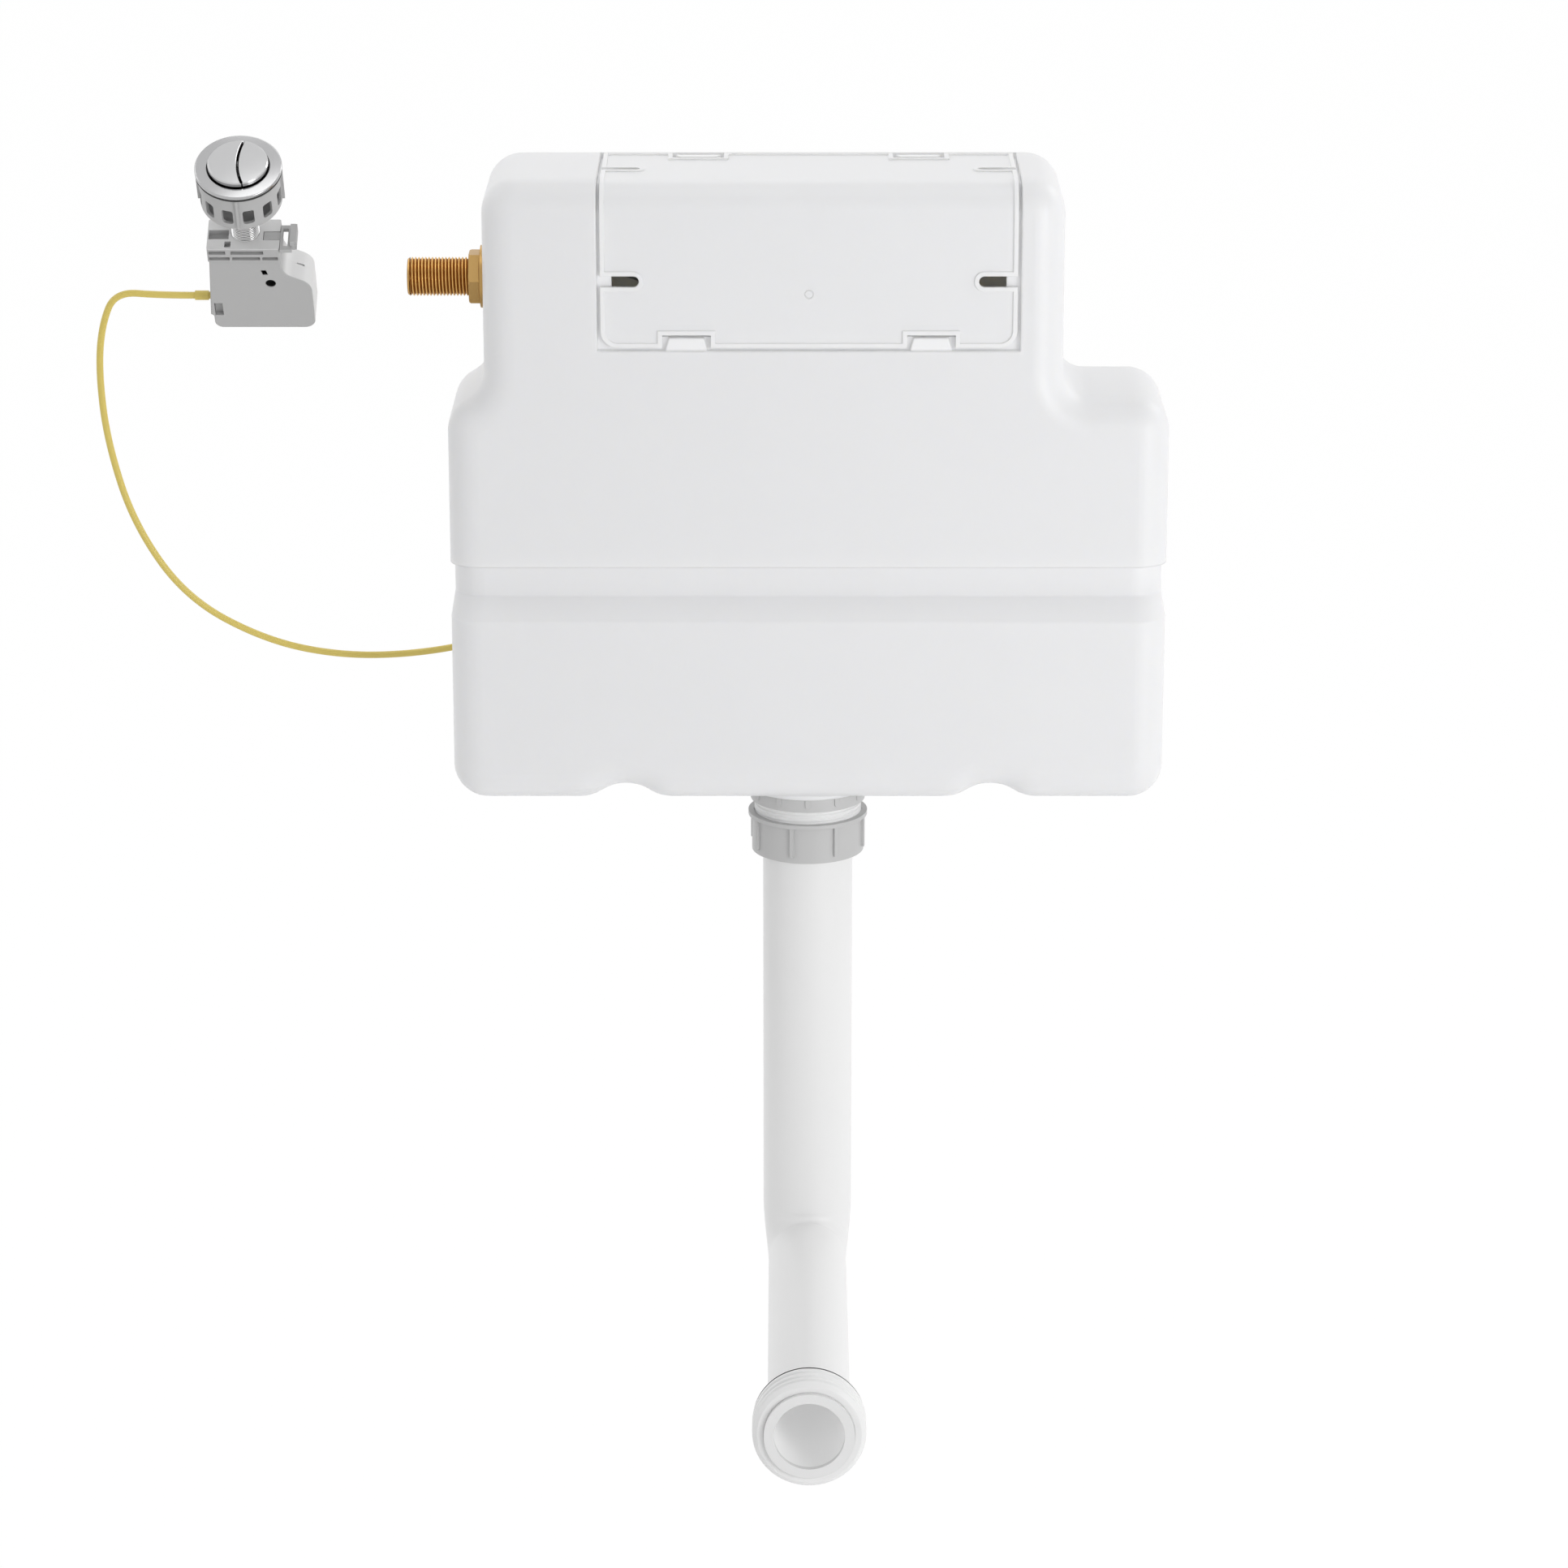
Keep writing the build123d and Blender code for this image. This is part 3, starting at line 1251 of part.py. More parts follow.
def make_lever(side, arm_x, arm_z):
    """A bell crank: a nub under its push rod, a hub on the pin and a lower arm towards the cable."""
    pivot = (lever_x, -lever_z)
    lever = link(pivot, (0, -lever_z), lever_nub_radius, lever_thickness)
    lever += link(pivot, (lever_x + arm_x, arm_z - lever_z), lever_nipple_radius, lever_thickness)
    lever += along_pin(lever_hub_radius, -lever_thickness / 2, lever_thickness / 2)
    lever -= along_pin(lever_pin_radius + running_fit, -lever_thickness, lever_thickness)
    return module * Pos(0, side * rod_offset, 0) * lever


def make_cable_ferrule():
    """The ferrule on the sheath's end, with a neck through the case's wall and a bore for the wire."""
    ferrule = bar(ferrule_radius, ferrule_start - ferrule_shoulder)
    ferrule += bar(ferrule_neck_radius, ferrule_start - ferrule_end)
    ferrule -= Pos(0, 0, ferrule_radius) * bar(pull_wire_radius + running_fit, ferrule_start)
    return module * Pos(-ferrule_start, -rod_offset, -ferrule_z) * Rot(0, 90, 0) * ferrule


def make_pull_wire():
    """The inner wire's end, from the ferrule to the full flush lever."""
    start = ferrule_radius + body_gap - ferrule_start
    return module * Pos(start, -rod_offset, -ferrule_z) * Rot(0, 90, 0) * bar(
        pull_wire_radius, -pull_wire_end - start)


NODES = {
    "tank_shell": make_tank_shell,
    "access_cover": make_access_cover,
    "inlet_shank": make_inlet_shank,
    "inlet_nut": make_inlet_nut,
    "inlet_washer": make_inlet_washer,
    "fill_valve_body": make_fill_valve_body,
    "valve_diaphragm": make_valve_diaphragm,
    "diaphragm_cap": make_diaphragm_cap,
    "silencer_tube": make_silencer_tube,
    "float_pivot_pin": make_float_pivot_pin,
    "float_arm": make_float_arm,
    "float_screw": make_float_screw,
    "float_block": make_float_block,
    "flush_valve_base": make_flush_valve_base,
    "base_washer": make_base_washer,
    "outlet_backnut": make_outlet_backnut,
    "flush_tower": make_flush_tower,
    "tower_cap": make_tower_cap,
    "overflow_tube": make_overflow_tube,
    "seal_holder": make_seal_holder,
    "valve_seal": make_valve_seal,
    "half_flush_float": make_half_flush_float,
    "lift_hook": make_lift_hook,
    "lift_wire": make_lift_wire,
    "cable_bracket": make_cable_bracket,
    "cable_anchor": make_cable_anchor,
    "inner_sheath": make_inner_sheath,
    "cable_elbow": make_cable_elbow,
    "elbow_clip": make_elbow_clip,
    "coupling_nut": make_coupling_nut,
    "pipe_seal_ring": make_pipe_seal_ring,
    "flush_pipe": make_flush_pipe,
    "outlet_collar": make_outlet_collar,
    "outlet_seal": make_outlet_seal,
    "cable_sheath": make_cable_sheath,
    "cable_ferrule": make_cable_ferrule,
    "pull_wire": make_pull_wire,
    "button_ring": make_button_ring,
    "panel_gasket": make_panel_gasket,
    "button_cup": make_button_cup,
    "full_flush_button": lambda: make_button(True),
    "half_flush_button": lambda: make_button(False),
    "full_push_rod": lambda: make_push_rod(-1),
    "half_push_rod": lambda: make_push_rod(1),
    "full_return_spring": lambda: make_return_spring(-1),
    "half_return_spring": lambda: make_return_spring(1),
    "threaded_tube": make_threaded_tube,
    "adapter_plate": make_adapter_plate,
    "latch_clip": make_latch_clip,
    "actuator_case_front": make_actuator_case_front,
    "actuator_case_back": make_actuator_case_back,
    "full_lever": lambda: make_lever(-1, full_arm_x, full_arm_z),
    "half_lever": lambda: make_lever(1, half_arm_x, half_arm_z),
    "lever_pin": make_lever_pin,
}

os.makedirs("parts", exist_ok=True)
for name, make in NODES.items():
    export_step(make(), f"parts/{name}.step")

cable_length = FilletPolyline(*cable_route, radius=bend_radii(cable_route)).length
print("cable radii", [round(radius, 1) for radius in bend_radii(cable_route)])
print("cable volume", round(make_cable_sheath().volume))
print("section by length", round(pi * sheath_radius**2 * cable_length))
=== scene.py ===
"""The looks of a compact concealed toilet cistern: its cable, threads, bent pipe, springs and finishes.

Lengths in named values and tables are in millimetres, and every mesh is made in metres.
"""
import json
from math import cos, pi, radians, sin

import bpy
import numpy as np
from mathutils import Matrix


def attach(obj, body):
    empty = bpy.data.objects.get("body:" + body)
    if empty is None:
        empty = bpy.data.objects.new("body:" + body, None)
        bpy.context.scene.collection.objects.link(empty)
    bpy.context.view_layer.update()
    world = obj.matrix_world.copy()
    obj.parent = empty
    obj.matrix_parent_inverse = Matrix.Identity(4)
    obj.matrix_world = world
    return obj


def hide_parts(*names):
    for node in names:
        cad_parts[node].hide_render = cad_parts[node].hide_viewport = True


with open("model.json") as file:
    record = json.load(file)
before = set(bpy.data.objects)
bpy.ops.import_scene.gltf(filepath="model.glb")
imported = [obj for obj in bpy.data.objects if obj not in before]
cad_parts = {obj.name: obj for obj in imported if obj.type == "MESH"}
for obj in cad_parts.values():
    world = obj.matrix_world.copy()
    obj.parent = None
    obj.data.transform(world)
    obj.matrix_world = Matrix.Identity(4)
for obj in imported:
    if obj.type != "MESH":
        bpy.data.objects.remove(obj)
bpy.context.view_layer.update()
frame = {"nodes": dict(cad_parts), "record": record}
nodes = frame["nodes"]
MM = 0.001
origin = (0.0, 0.0, 0.0)
rightwards = (1.0, 0.0, 0.0)
forwards = (0.0, -1.0, 0.0)
upwards = (0.0, 0.0, 1.0)

# The button module's own frame: it leans forwards, and its origin is on top of the face ring
module_lean = radians(35.0)
module_origin = np.array((-303.83, -100.0, 38.23))
module_right = np.array(rightwards)
module_up = np.array((0.0, -sin(module_lean), cos(module_lean)))
module_back = np.cross(module_up, module_right)
module_middle = tuple(module_origin * MM)

# Depths, widths and heights in the module's frame where painted light and painted shade change the grey
# plastic's tone
case_front = -12.4  # just behind the flat front
case_back = 7.4
case_pale_from = 19.0
case_top = -59.7
plate_pale_from = -50.7
hollow_left = 3.0
hollow_right = 18.5
hollow_top = -65.5
hollow_bottom = -88.0

# Where the side inlet, the outlet's tail, the flush pipe's level leg, its collar and the stem start
inlet_start = (-217.3, -62.0, -29.2)
tail_start = (0.0, -62.0, -343.0)
leg_start = (0.0, -50.0, -592.9)
leg_bore = 20.4  # the radius of the leg's bore
collar_start = (0.0, -310.0, -592.9)
stem_drop = 57.0  # the stem's start below the module's origin

# The recess of the access cover
recess_half_width = 113.5
recess_low = -59.3
recess_front = 110.6
recess_top = 28.6

# The camera: a pinhole in front of the tank that looks down a little
photo_pixels = 1932.0
focal_pixels = 6500.0
sensor = 36.0
look_down = 17.3
camera_place = (-0.0133, -2.8778, 0.5592)
camera_data = bpy.data.cameras.new("camera")
camera_data.lens = focal_pixels / photo_pixels * sensor
camera_data.sensor_width = sensor
camera_data.clip_end = 20.0
camera = bpy.data.objects.new("camera", camera_data)
camera.location = camera_place
camera.rotation_euler = (radians(90.0 - look_down), 0.0, 0.0)
bpy.context.scene.collection.objects.link(camera)
bpy.context.scene.camera = camera


# Materials
class Value:
    """A socket that takes part in plain arithmetic; each operator adds one Math node."""

    def __init__(self, maker, socket):
        self.maker = maker
        self.socket = socket

    def combine(self, operation, first, second):
        return self.maker.node("ShaderNodeMath", {"operation": operation}, {0: first, 1: second})

    def __add__(self, other):
        return self.combine("ADD", self, other)

    def __radd__(self, other):
        return self.combine("ADD", other, self)

    def __sub__(self, other):
        return self.combine("SUBTRACT", self, other)

    def __rsub__(self, other):
        return self.combine("SUBTRACT", other, self)

    def __mul__(self, other):
        return self.combine("MULTIPLY", self, other)

    def __rmul__(self, other):
        return self.combine("MULTIPLY", other, self)

    def __truediv__(self, other):
        return self.combine("DIVIDE", self, other)

    def __pow__(self, other):
        return self.combine("POWER", self, other)

    def at_most(self, other):
        return self.combine("MINIMUM", self, other)

    def at_least(self, other):
        return self.combine("MAXIMUM", self, other)


class Finish:
    """A material under construction: one shader, and the nodes that vary it."""

    def __init__(self, name, **constants):
        self.name = name
        self.material = bpy.data.materials.new(name)
        self.material.use_nodes = True
        self.tree = self.material.node_tree
        self.shader = self.tree.nodes["Principled BSDF"]
        for socket, value in constants.items():
            self.set(socket.replace("_", " "), value)

    def set(self, socket, value):
        """Puts a constant or a link on one of the shader's own sockets."""
        self.feed(self.shader.inputs[socket], value)

    def feed(self, target, value):
        if isinstance(value, Value):
            self.tree.links.new(value.socket, target)
        elif target.type == "RGBA":
            target.default_value = (*value, 1.0)
        else:
            target.default_value = value

    def node(self, kind, settings=None, inputs=None, output=0):
        """Adds a node of a type with its settings, then the values or links of its sockets."""
        made = self.tree.nodes.new(kind)
        for key, value in (settings or {}).items():
            setattr(made, key, value)
        for key, value in (inputs or {}).items():
            if value is not None:
                self.feed(made.inputs[key], value)
        return Value(self, made.outputs[output])

    def place(self):
        """Object coordinates, in metres."""
        return self.node("ShaderNodeTexCoord", output="Object")

    def noise(self, scale, detail=2.0):
        """A soft noise from 0 to 1, with its scale per metre."""
        inputs = {"Vector": self.place(), "Scale": scale, "Detail": detail}
        return self.node("ShaderNodeTexNoise", None, inputs)

    def vector(self, operation, first, second=None, output=0):
        """One Vector Math node."""
        return self.node("ShaderNodeVectorMath", {"operation": operation}, {0: first, 1: second}, output)

    def off_axis(self, middle, axis):
        """The distance from an axis through a middle, in millimetres."""
        out = self.vector("SUBTRACT", self.place(), middle)
        return self.vector("LENGTH", self.vector("CROSS_PRODUCT", out, axis), output=1) / MM

    def along(self, middle, axis):
        """The distance along an axis from a middle, in millimetres."""
        out = self.vector("SUBTRACT", self.place(), middle)
        return self.vector("DOT_PRODUCT", out, axis, output=1) / MM

    def step(self, value, start, width):
        """Rises from 0 at a start to 1 over a width, which is negative for a rise towards lower values."""
        return ((value - start) / width).at_least(0.0).at_most(1.0)

    def mix(self, factor, first, second):
        """A colour between two colours."""
        inputs = {"Factor": factor, 6: first, 7: second}
        return self.node("ShaderNodeMix", {"data_type": "RGBA"}, inputs, output=2)

    def bump(self, height, distance, strength, over):
        """A bump whose height is in parts of a distance in metres."""
        inputs = {"Height": height, "Distance": distance, "Strength": strength, "Normal": over}
        return self.node("ShaderNodeBump", None, inputs)

    def soft_edge(self, radius):
        """The normal of an edge rounded by a radius in metres."""
        return self.node("ShaderNodeBevel", {"samples": 4}, {"Radius": radius})


def grey(level):
    """A neutral colour."""
    return (level, level, level)


# Noise scales are per metre
cloud_scale = 22.0
brass_cloud_scale = 90.0
plating_cloud_scale = 120.0
rubber_cloud_scale = 160.0
wire_cloud_scale = 400.0
cloud_detail = 3.0
grain_scale = 900.0
case_grain_scale = 1400.0

# How far the clouds vary a finish's roughness
moulded_spread = 0.08
smooth_spread = 0.06
brass_spread = 0.1
rubber_spread = 0.15
wire_spread = 0.2

# The grain's height and the radii of rounded edges, in metres
grain_rise = 0.00001
grain_strength = 0.6
edge_radius = 0.0004
sharp_edge_radius = 0.0003

# The width of a sharp change of tone, the radius of the buttons' and the ring's domes, and the depth over
# which a painted glow comes up in the pipe's bore
blend = 0.2
dome_radius = 25.0
painted_glow_depth = 30.0

# Tones and shares that one kind of finish uses
black = grey(0.0)
painted_light_grey = grey(0.66)
painted_shade_grey = grey(0.01)
steel = (0.55, 0.55, 0.56)
brass_clouds = 0.25
bloom = 1.6
bloom_level = 0.01
rubber_roughness = 0.62
wire_roughness = 0.25


def moulded(name, colour, roughness, grain=grain_scale, grain_height=grain_rise, mottle=0.03,
            edge=edge_radius, **constants):
    """Injection or blow moulded plastic: a fine grain, faint mottling and softened edges."""
    finish = Finish(name, **constants)
    cloud = finish.noise(cloud_scale, cloud_detail)
    darker = tuple(c * (1.0 - mottle) for c in colour)
    finish.set("Base Color", finish.mix(cloud, darker, colour))
    fine = finish.noise(grain)
    finish.set("Roughness", roughness + moulded_spread * (cloud - 0.5))
    rounded = finish.soft_edge(edge) if edge else None
    finish.set("Normal", finish.bump(fine, grain_height, grain_strength, rounded))
    return finish


def tank_plastic(name, colour, roughness, glow, **constants):
    """Moulded plastic with a painted glow that lightens the shade in and round the cover's shallow recess, in
    front and on top.
    """
    finish = moulded(name, colour, roughness, **constants)
    across = finish.along(origin, rightwards)
    front = finish.along(origin, forwards)
    high = finish.along(origin, upwards)
    # Painted glow: emission that lightens the shade of the recess round the cover
    shallow = finish.step(front, recess_front, blend).at_least(finish.step(high, recess_top, blend))
    sharp = blend / 2.0
    painted_glow_area = finish.step(across, -recess_half_width, sharp) * finish.step(across, recess_half_width, -sharp)
    painted_glow_area = painted_glow_area * finish.step(high, recess_low, sharp)
    finish.set("Emission Color", finish.mix(shallow * painted_glow_area, black, grey(glow)))
    finish.set("Emission Strength", 1.0)
    return finish


def machined_brass(name, darker, lighter, roughness, groove=None):
    """Turned brass, faintly cloudy. With a groove, it darkens from the crest to the root round an axis."""
    finish = Finish(name, Metallic=1.0)
    cloud = finish.noise(brass_cloud_scale, cloud_detail)
    depth = 0.0
    if groove:
        middle, axis, root, crest = groove
        depth = finish.step(finish.off_axis(middle, axis), crest, root - crest)
    finish.set("Base Color", finish.mix((brass_clouds * cloud + depth).at_most(1.0), lighter, darker))
    finish.set("Roughness", roughness + brass_spread * cloud)
    return finish


def plated(name, colour, roughness, spread, dome=0.0, groove=None, gap=None):
    """Bright plating with a faint cloudiness in its gloss, round the button module's axis.

    A dome's height falls with the square of the distance from the axis. With a groove, it darkens from the
    crest to the root. With a gap, painted shade darkens the walls below one height outside a radius, and
    below another height inside it.
    """
    finish = Finish(name, Metallic=1.0, Base_Color=colour)
    cloud = finish.noise(plating_cloud_scale)
    finish.set("Roughness", roughness + spread * cloud)
    reach = finish.off_axis(module_middle, tuple(module_up))
    if groove:
        root, crest, dark = groove
        finish.set("Base Color", finish.mix(finish.step(reach, crest, root - crest), colour, dark))
    if gap:
        radius, outer, inner, dark = gap
        high = finish.along(module_middle, tuple(module_up))
        # Painted shade on the walls of the gap round the buttons
        near = finish.step(reach, radius, -1.5 * blend) * finish.step(high, inner, -blend)
        gap_painted_shade = near.at_least(finish.step(high, outer, -2.0 * blend))
        finish.set("Base Color", finish.mix(gap_painted_shade, colour, dark))
    if dome:
        height = 1.0 - (reach / dome_radius) ** 2.0
        finish.set("Normal", finish.bump(height, dome, 1.0, finish.soft_edge(sharp_edge_radius)))
    return finish


def case_plastic(name, colour, roughness, pale_from=None):
    """Grey plastic with painted light that makes the side walls on the right, behind the flat front, paler,
    and painted shade that makes the hollow inside dark.

    It also has painted light that makes it paler above a height on the module's axis, if one is given.
    """
    finish = Finish(name)
    across = finish.along(module_middle, tuple(module_right))
    deep = finish.along(module_middle, tuple(module_back))
    high = finish.along(module_middle, tuple(module_up))
    # Painted light: the side walls on the right, behind the flat front and below the case's top, are paler
    painted_light_share = finish.step(deep, case_front, 1.5 * blend) * finish.step(across, case_pale_from, 10.0 * blend)
    painted_light_share = painted_light_share * finish.step(high, case_top, -1.5 * blend)
    # Painted light: paler above the given height
    if pale_from is not None:
        painted_light_share = painted_light_share.at_least(finish.step(high, pale_from, 2.5 * blend))
    # Painted shade: the hollow inside the case, seen through its small holes, is made near black
    painted_shade_share = finish.step(deep, case_front + blend, blend) * finish.step(deep, case_back, -blend)
    painted_shade_share = painted_shade_share * finish.step(across, hollow_left, blend) * finish.step(across, hollow_right, -blend)
    painted_shade_share = painted_shade_share * finish.step(high, hollow_top, -blend) * finish.step(high, hollow_bottom, blend)
    toned = finish.mix(painted_light_share, colour, painted_light_grey)
    finish.set("Base Color", finish.mix(painted_shade_share, toned, painted_shade_grey))
    finish.set("Roughness", roughness + smooth_spread * finish.noise(cloud_scale, cloud_detail))
    fine = finish.noise(case_grain_scale)
    rounded = finish.soft_edge(sharp_edge_radius)
    finish.set("Normal", finish.bump(fine, grain_rise, grain_strength, rounded))
    return finish


def pipe_plastic(name, colour, roughness, glow):
    """White plastic with a painted glow that lightens the shade in the level leg's bore."""
    finish = Finish(name, Base_Color=colour, Emission_Strength=1.0)
    finish.set("Roughness", roughness + smooth_spread * finish.noise(cloud_scale, cloud_detail))
    middle = tuple(c * MM for c in leg_start)
    # Painted glow: emission that lightens the shade inside the level leg's bore
    painted_glow_in_bore = finish.step(finish.off_axis(middle, forwards), leg_bore, -2.0 * blend)
    painted_glow_in_bore = painted_glow_in_bore * finish.step(finish.along(middle, forwards), 0.0, painted_glow_depth)
    finish.set("Emission Color", finish.mix(painted_glow_in_bore, black, grey(glow)))
    fine = finish.noise(grain_scale)
    finish.set("Normal", finish.bump(fine, grain_rise, grain_strength, finish.soft_edge(edge_radius)))
    return finish


def soft_rubber(name, colour):
    """Matt rubber with a slight bloom."""
    finish = Finish(name)
    cloud = finish.noise(rubber_cloud_scale, cloud_detail)
    finish.set("Base Color", finish.mix(cloud, colour, tuple(c * bloom + bloom_level for c in colour)))
    finish.set("Roughness", rubber_roughness + rubber_spread * cloud)
    return finish


def drawn_wire(name):
    """Drawn steel wire."""
    finish = Finish(name, Metallic=1.0, Base_Color=steel)
    finish.set("Roughness", wire_roughness + wire_spread * finish.noise(wire_cloud_scale))
    return finish


# Light that goes a little way into white plastic
milky = {"Subsurface_Weight": 0.3, "Subsurface_Scale": 0.008, "Subsurface_Radius": (1.0, 0.95, 0.8)}
# The inlet's groove is a middle, an axis, and the radius of its root and of its crest. The stem's groove is
# the two radii and its dark colour. The gap round the buttons is a radius, the height outside it, the height
# inside it and the colour of its painted shade.
inlet_groove = (tuple(c * MM for c in inlet_start), rightwards, 9.45, 10.35)
stem_groove = (7.02, 7.52, grey(0.13))
button_gap_painted_shade = (15.5, 1.3, 3.3, grey(0.02))
finishes = (
    tank_plastic("tank_white", (0.81, 0.81, 0.815), roughness=0.42, glow=0.085, grain=500.0,
                 grain_height=0.00003, mottle=0.015, edge=0.0016, **milky),
    moulded("cover_white", grey(0.86), roughness=0.36, mottle=0.015, edge=0.0005, **milky),
    pipe_plastic("pipe_white", grey(0.775), roughness=0.33, glow=0.14),
    moulded("nut_grey", grey(0.51), roughness=0.40, edge=0.0003),
    moulded("tail_white", grey(0.82), roughness=0.35),
    case_plastic("case_grey", grey(0.43), roughness=0.45),
    case_plastic("plate_grey", grey(0.43), roughness=0.45, pale_from=plate_pale_from),
    machined_brass("inlet_brass", (0.36, 0.17, 0.045), (0.84, 0.55, 0.20), roughness=0.36,
                   groove=inlet_groove),
    machined_brass("nut_brass", (0.40, 0.255, 0.095), (0.48, 0.30, 0.11), roughness=0.32),
    # The pin's near-black grey is painted shade, so the hole it sits in reads dark
    moulded("pin_black", grey(0.010), roughness=0.5),
    plated("chrome", (0.445, 0.445, 0.45), roughness=0.18, spread=0.06, dome=0.0018),
    plated("button_chrome", (0.54, 0.54, 0.545), roughness=0.18, spread=0.06, dome=0.0015, gap=button_gap_painted_shade),
    plated("stem_chrome", grey(0.78), roughness=0.12, spread=0.05, groove=stem_groove),
    soft_rubber("rubber_black", grey(0.012)),
    moulded("seal_grey", grey(0.74), roughness=0.45),
    moulded("sheath_yellow", (0.67, 0.53, 0.125), roughness=0.38, grain_height=0.000002, edge=0.0),
    drawn_wire("steel_wire"),
    moulded("valve_white", (0.74, 0.74, 0.72), roughness=0.35),
    moulded("float_white", (0.72, 0.72, 0.71), roughness=0.6, grain=300.0, grain_height=0.00006),
)
finishes = {finish.name: finish.material for finish in finishes}

own_finish = {"adapter_plate": "plate_grey", "full_flush_button": "button_chrome",
              "half_flush_button": "button_chrome"}
slot_of = {part["node"]: part["material_slot"] for part in frame["record"]["subparts"]}
for name, piece in nodes.items():
    piece.data.materials.clear()
    piece.data.materials.append(finishes[own_finish.get(name, slot_of[name])])


# The cable: one smooth spline that the route's corners control
cable_route = (
    (-334.93, -46.74, -42.89),
    (-354, -46.74, -42.89),
    (-378.7, -46.2, -41),
    (-386.8, -45.2, -59.6),
    (-389.8, -43, -86),
    (-387.2, -39, -126.5),
    (-374.7, -34, -175.4),
    (-347.6, -28.5, -219.3),
    (-304.9, -22.5, -245.4),
    (-262.5, -16.5, -256.3),
    (-218.1, -11, -256.5),
    (-174.3, -6.5, -248.5),
    (-135, -5, -226),
    (-97, -5, -191),
    (-62, -5, -151),
    (-31, -5, -107),
    (-8, -5, -62),
    (0, -5, -30),
    (0, -5, -4.5),
)

cable_radius = 1.9


def make_cable():
    """A tube of the sheath's radius along a quadratic spline that the route's corners control."""
    curve = bpy.data.curves.new("cable", "CURVE")
    curve.dimensions = "3D"
    curve.bevel_depth = cable_radius * MM
    curve.bevel_resolution = 5
    curve.use_fill_caps = True
    curve.resolution_u = 24
    spline = curve.splines.new("NURBS")
    spline.points.add(len(cable_route) - 1)
    for point, corner in zip(spline.points, cable_route):
        point.co = (*(c * MM for c in corner), 1.0)
    spline.order_u = 3
    spline.use_endpoint_u = True
    cable = bpy.data.objects.new("cable", curve)
    bpy.context.scene.collection.objects.link(cable)
    curve.materials.append(finishes["sheath_yellow"])
    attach(cable, "tank")
    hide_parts("cable_sheath")


make_cable()


# Turned, threaded and coiled pieces
sharp_from = radians(40.0)
steps_per_pitch = 16
steps_per_turn = 28
wire_sides = 10


def ring_mesh(name, rings, finish, body, replaced):
    """A closed skin over rings of points: each ring joins the next one, and the last joins the first.

    Faces run from each point to the one after it on its ring and then to the next ring.
    """
    rows, around = rings.shape[:2]
    row = np.arange(rows)[:, None]
    turn = np.arange(around)[None, :]
    after_row = (row + 1) % rows * around
    after_turn = (turn + 1) % around
    corners = (row * around + turn, row * around + after_turn, after_row + after_turn, after_row + turn)
    faces = np.stack(np.broadcast_arrays(*corners), -1).reshape(-1, 4)
    mesh = bpy.data.meshes.new(name)
    mesh.from_pydata(rings.reshape(-1, 3) * MM, [], faces.tolist())
    mesh.shade_smooth()
    mesh.set_sharp_from_angle(angle=sharp_from)
    mesh.materials.append(finishes[finish])
    piece = bpy.data.objects.new(name, mesh)
    bpy.context.scene.collection.objects.link(piece)
    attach(piece, body)
    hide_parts(replaced)


def sampled(profile, step):
    """Points along a closed profile of (place, radius) corners, none further apart than a step."""
    corners = np.array(profile, float)
    following = np.roll(corners, -1, axis=0)
    counts = np.maximum(1, np.ceil(np.linalg.norm(following - corners, axis=1) / step).astype(int))
    stretches = zip(corners, following, counts)
    return np.concatenate([a + (b - a) * np.arange(n)[:, None] / n for a, b, n in stretches])


def turned(profile, thread, around, start, along, side):
    """A profile of (place, radius) turned round an axis, with a right-hand thread cut into its crest stretch.

    point = start + place * along + radius * (cos(angle) * side + sin(angle) * across), where the radius loses
    depth * (1 - rise) between the thread's ends. The rise is a wave with rounded flanks, 0 in the root and 1
    on the crest, of (place - first crest) / pitch - angle / turn, and both ends run out into the root within
    a third of a pitch.
    """
    first, last, pitch, depth, first_crest, root_share, crest_share = thread
    points = sampled(profile, pitch / steps_per_pitch)
    place = points[:, :1]
    radius = points[:, 1:]
    angle = np.linspace(0.0, 2.0 * pi, around, endpoint=False)[None, :]
    wave = np.abs(2.0 * (((place - first_crest) / pitch - angle / (2.0 * pi)) % 1.0) - 1.0)
    rise = np.clip((wave - root_share) / (crest_share - root_share), 0.0, 1.0)
    rise = rise * rise * (3.0 - 2.0 * rise)
    run_out = np.clip(np.minimum(place - first, last - place) / (pitch / 3.0), 0.0, 1.0)
    threaded = (place >= first) & (place <= last)
    crest_radius = np.max(radius[threaded])
    cut = threaded & (radius > crest_radius - 0.01)
    radius = radius - cut * depth * (1.0 - rise * run_out)
    along = np.array(along, float)
    side = np.array(side, float)
    across = np.cross(along, side)
    spoke = np.cos(angle)[..., None] * side + np.sin(angle)[..., None] * across
    return np.array(start, float) + place[..., None] * along + radius[..., None] * spoke


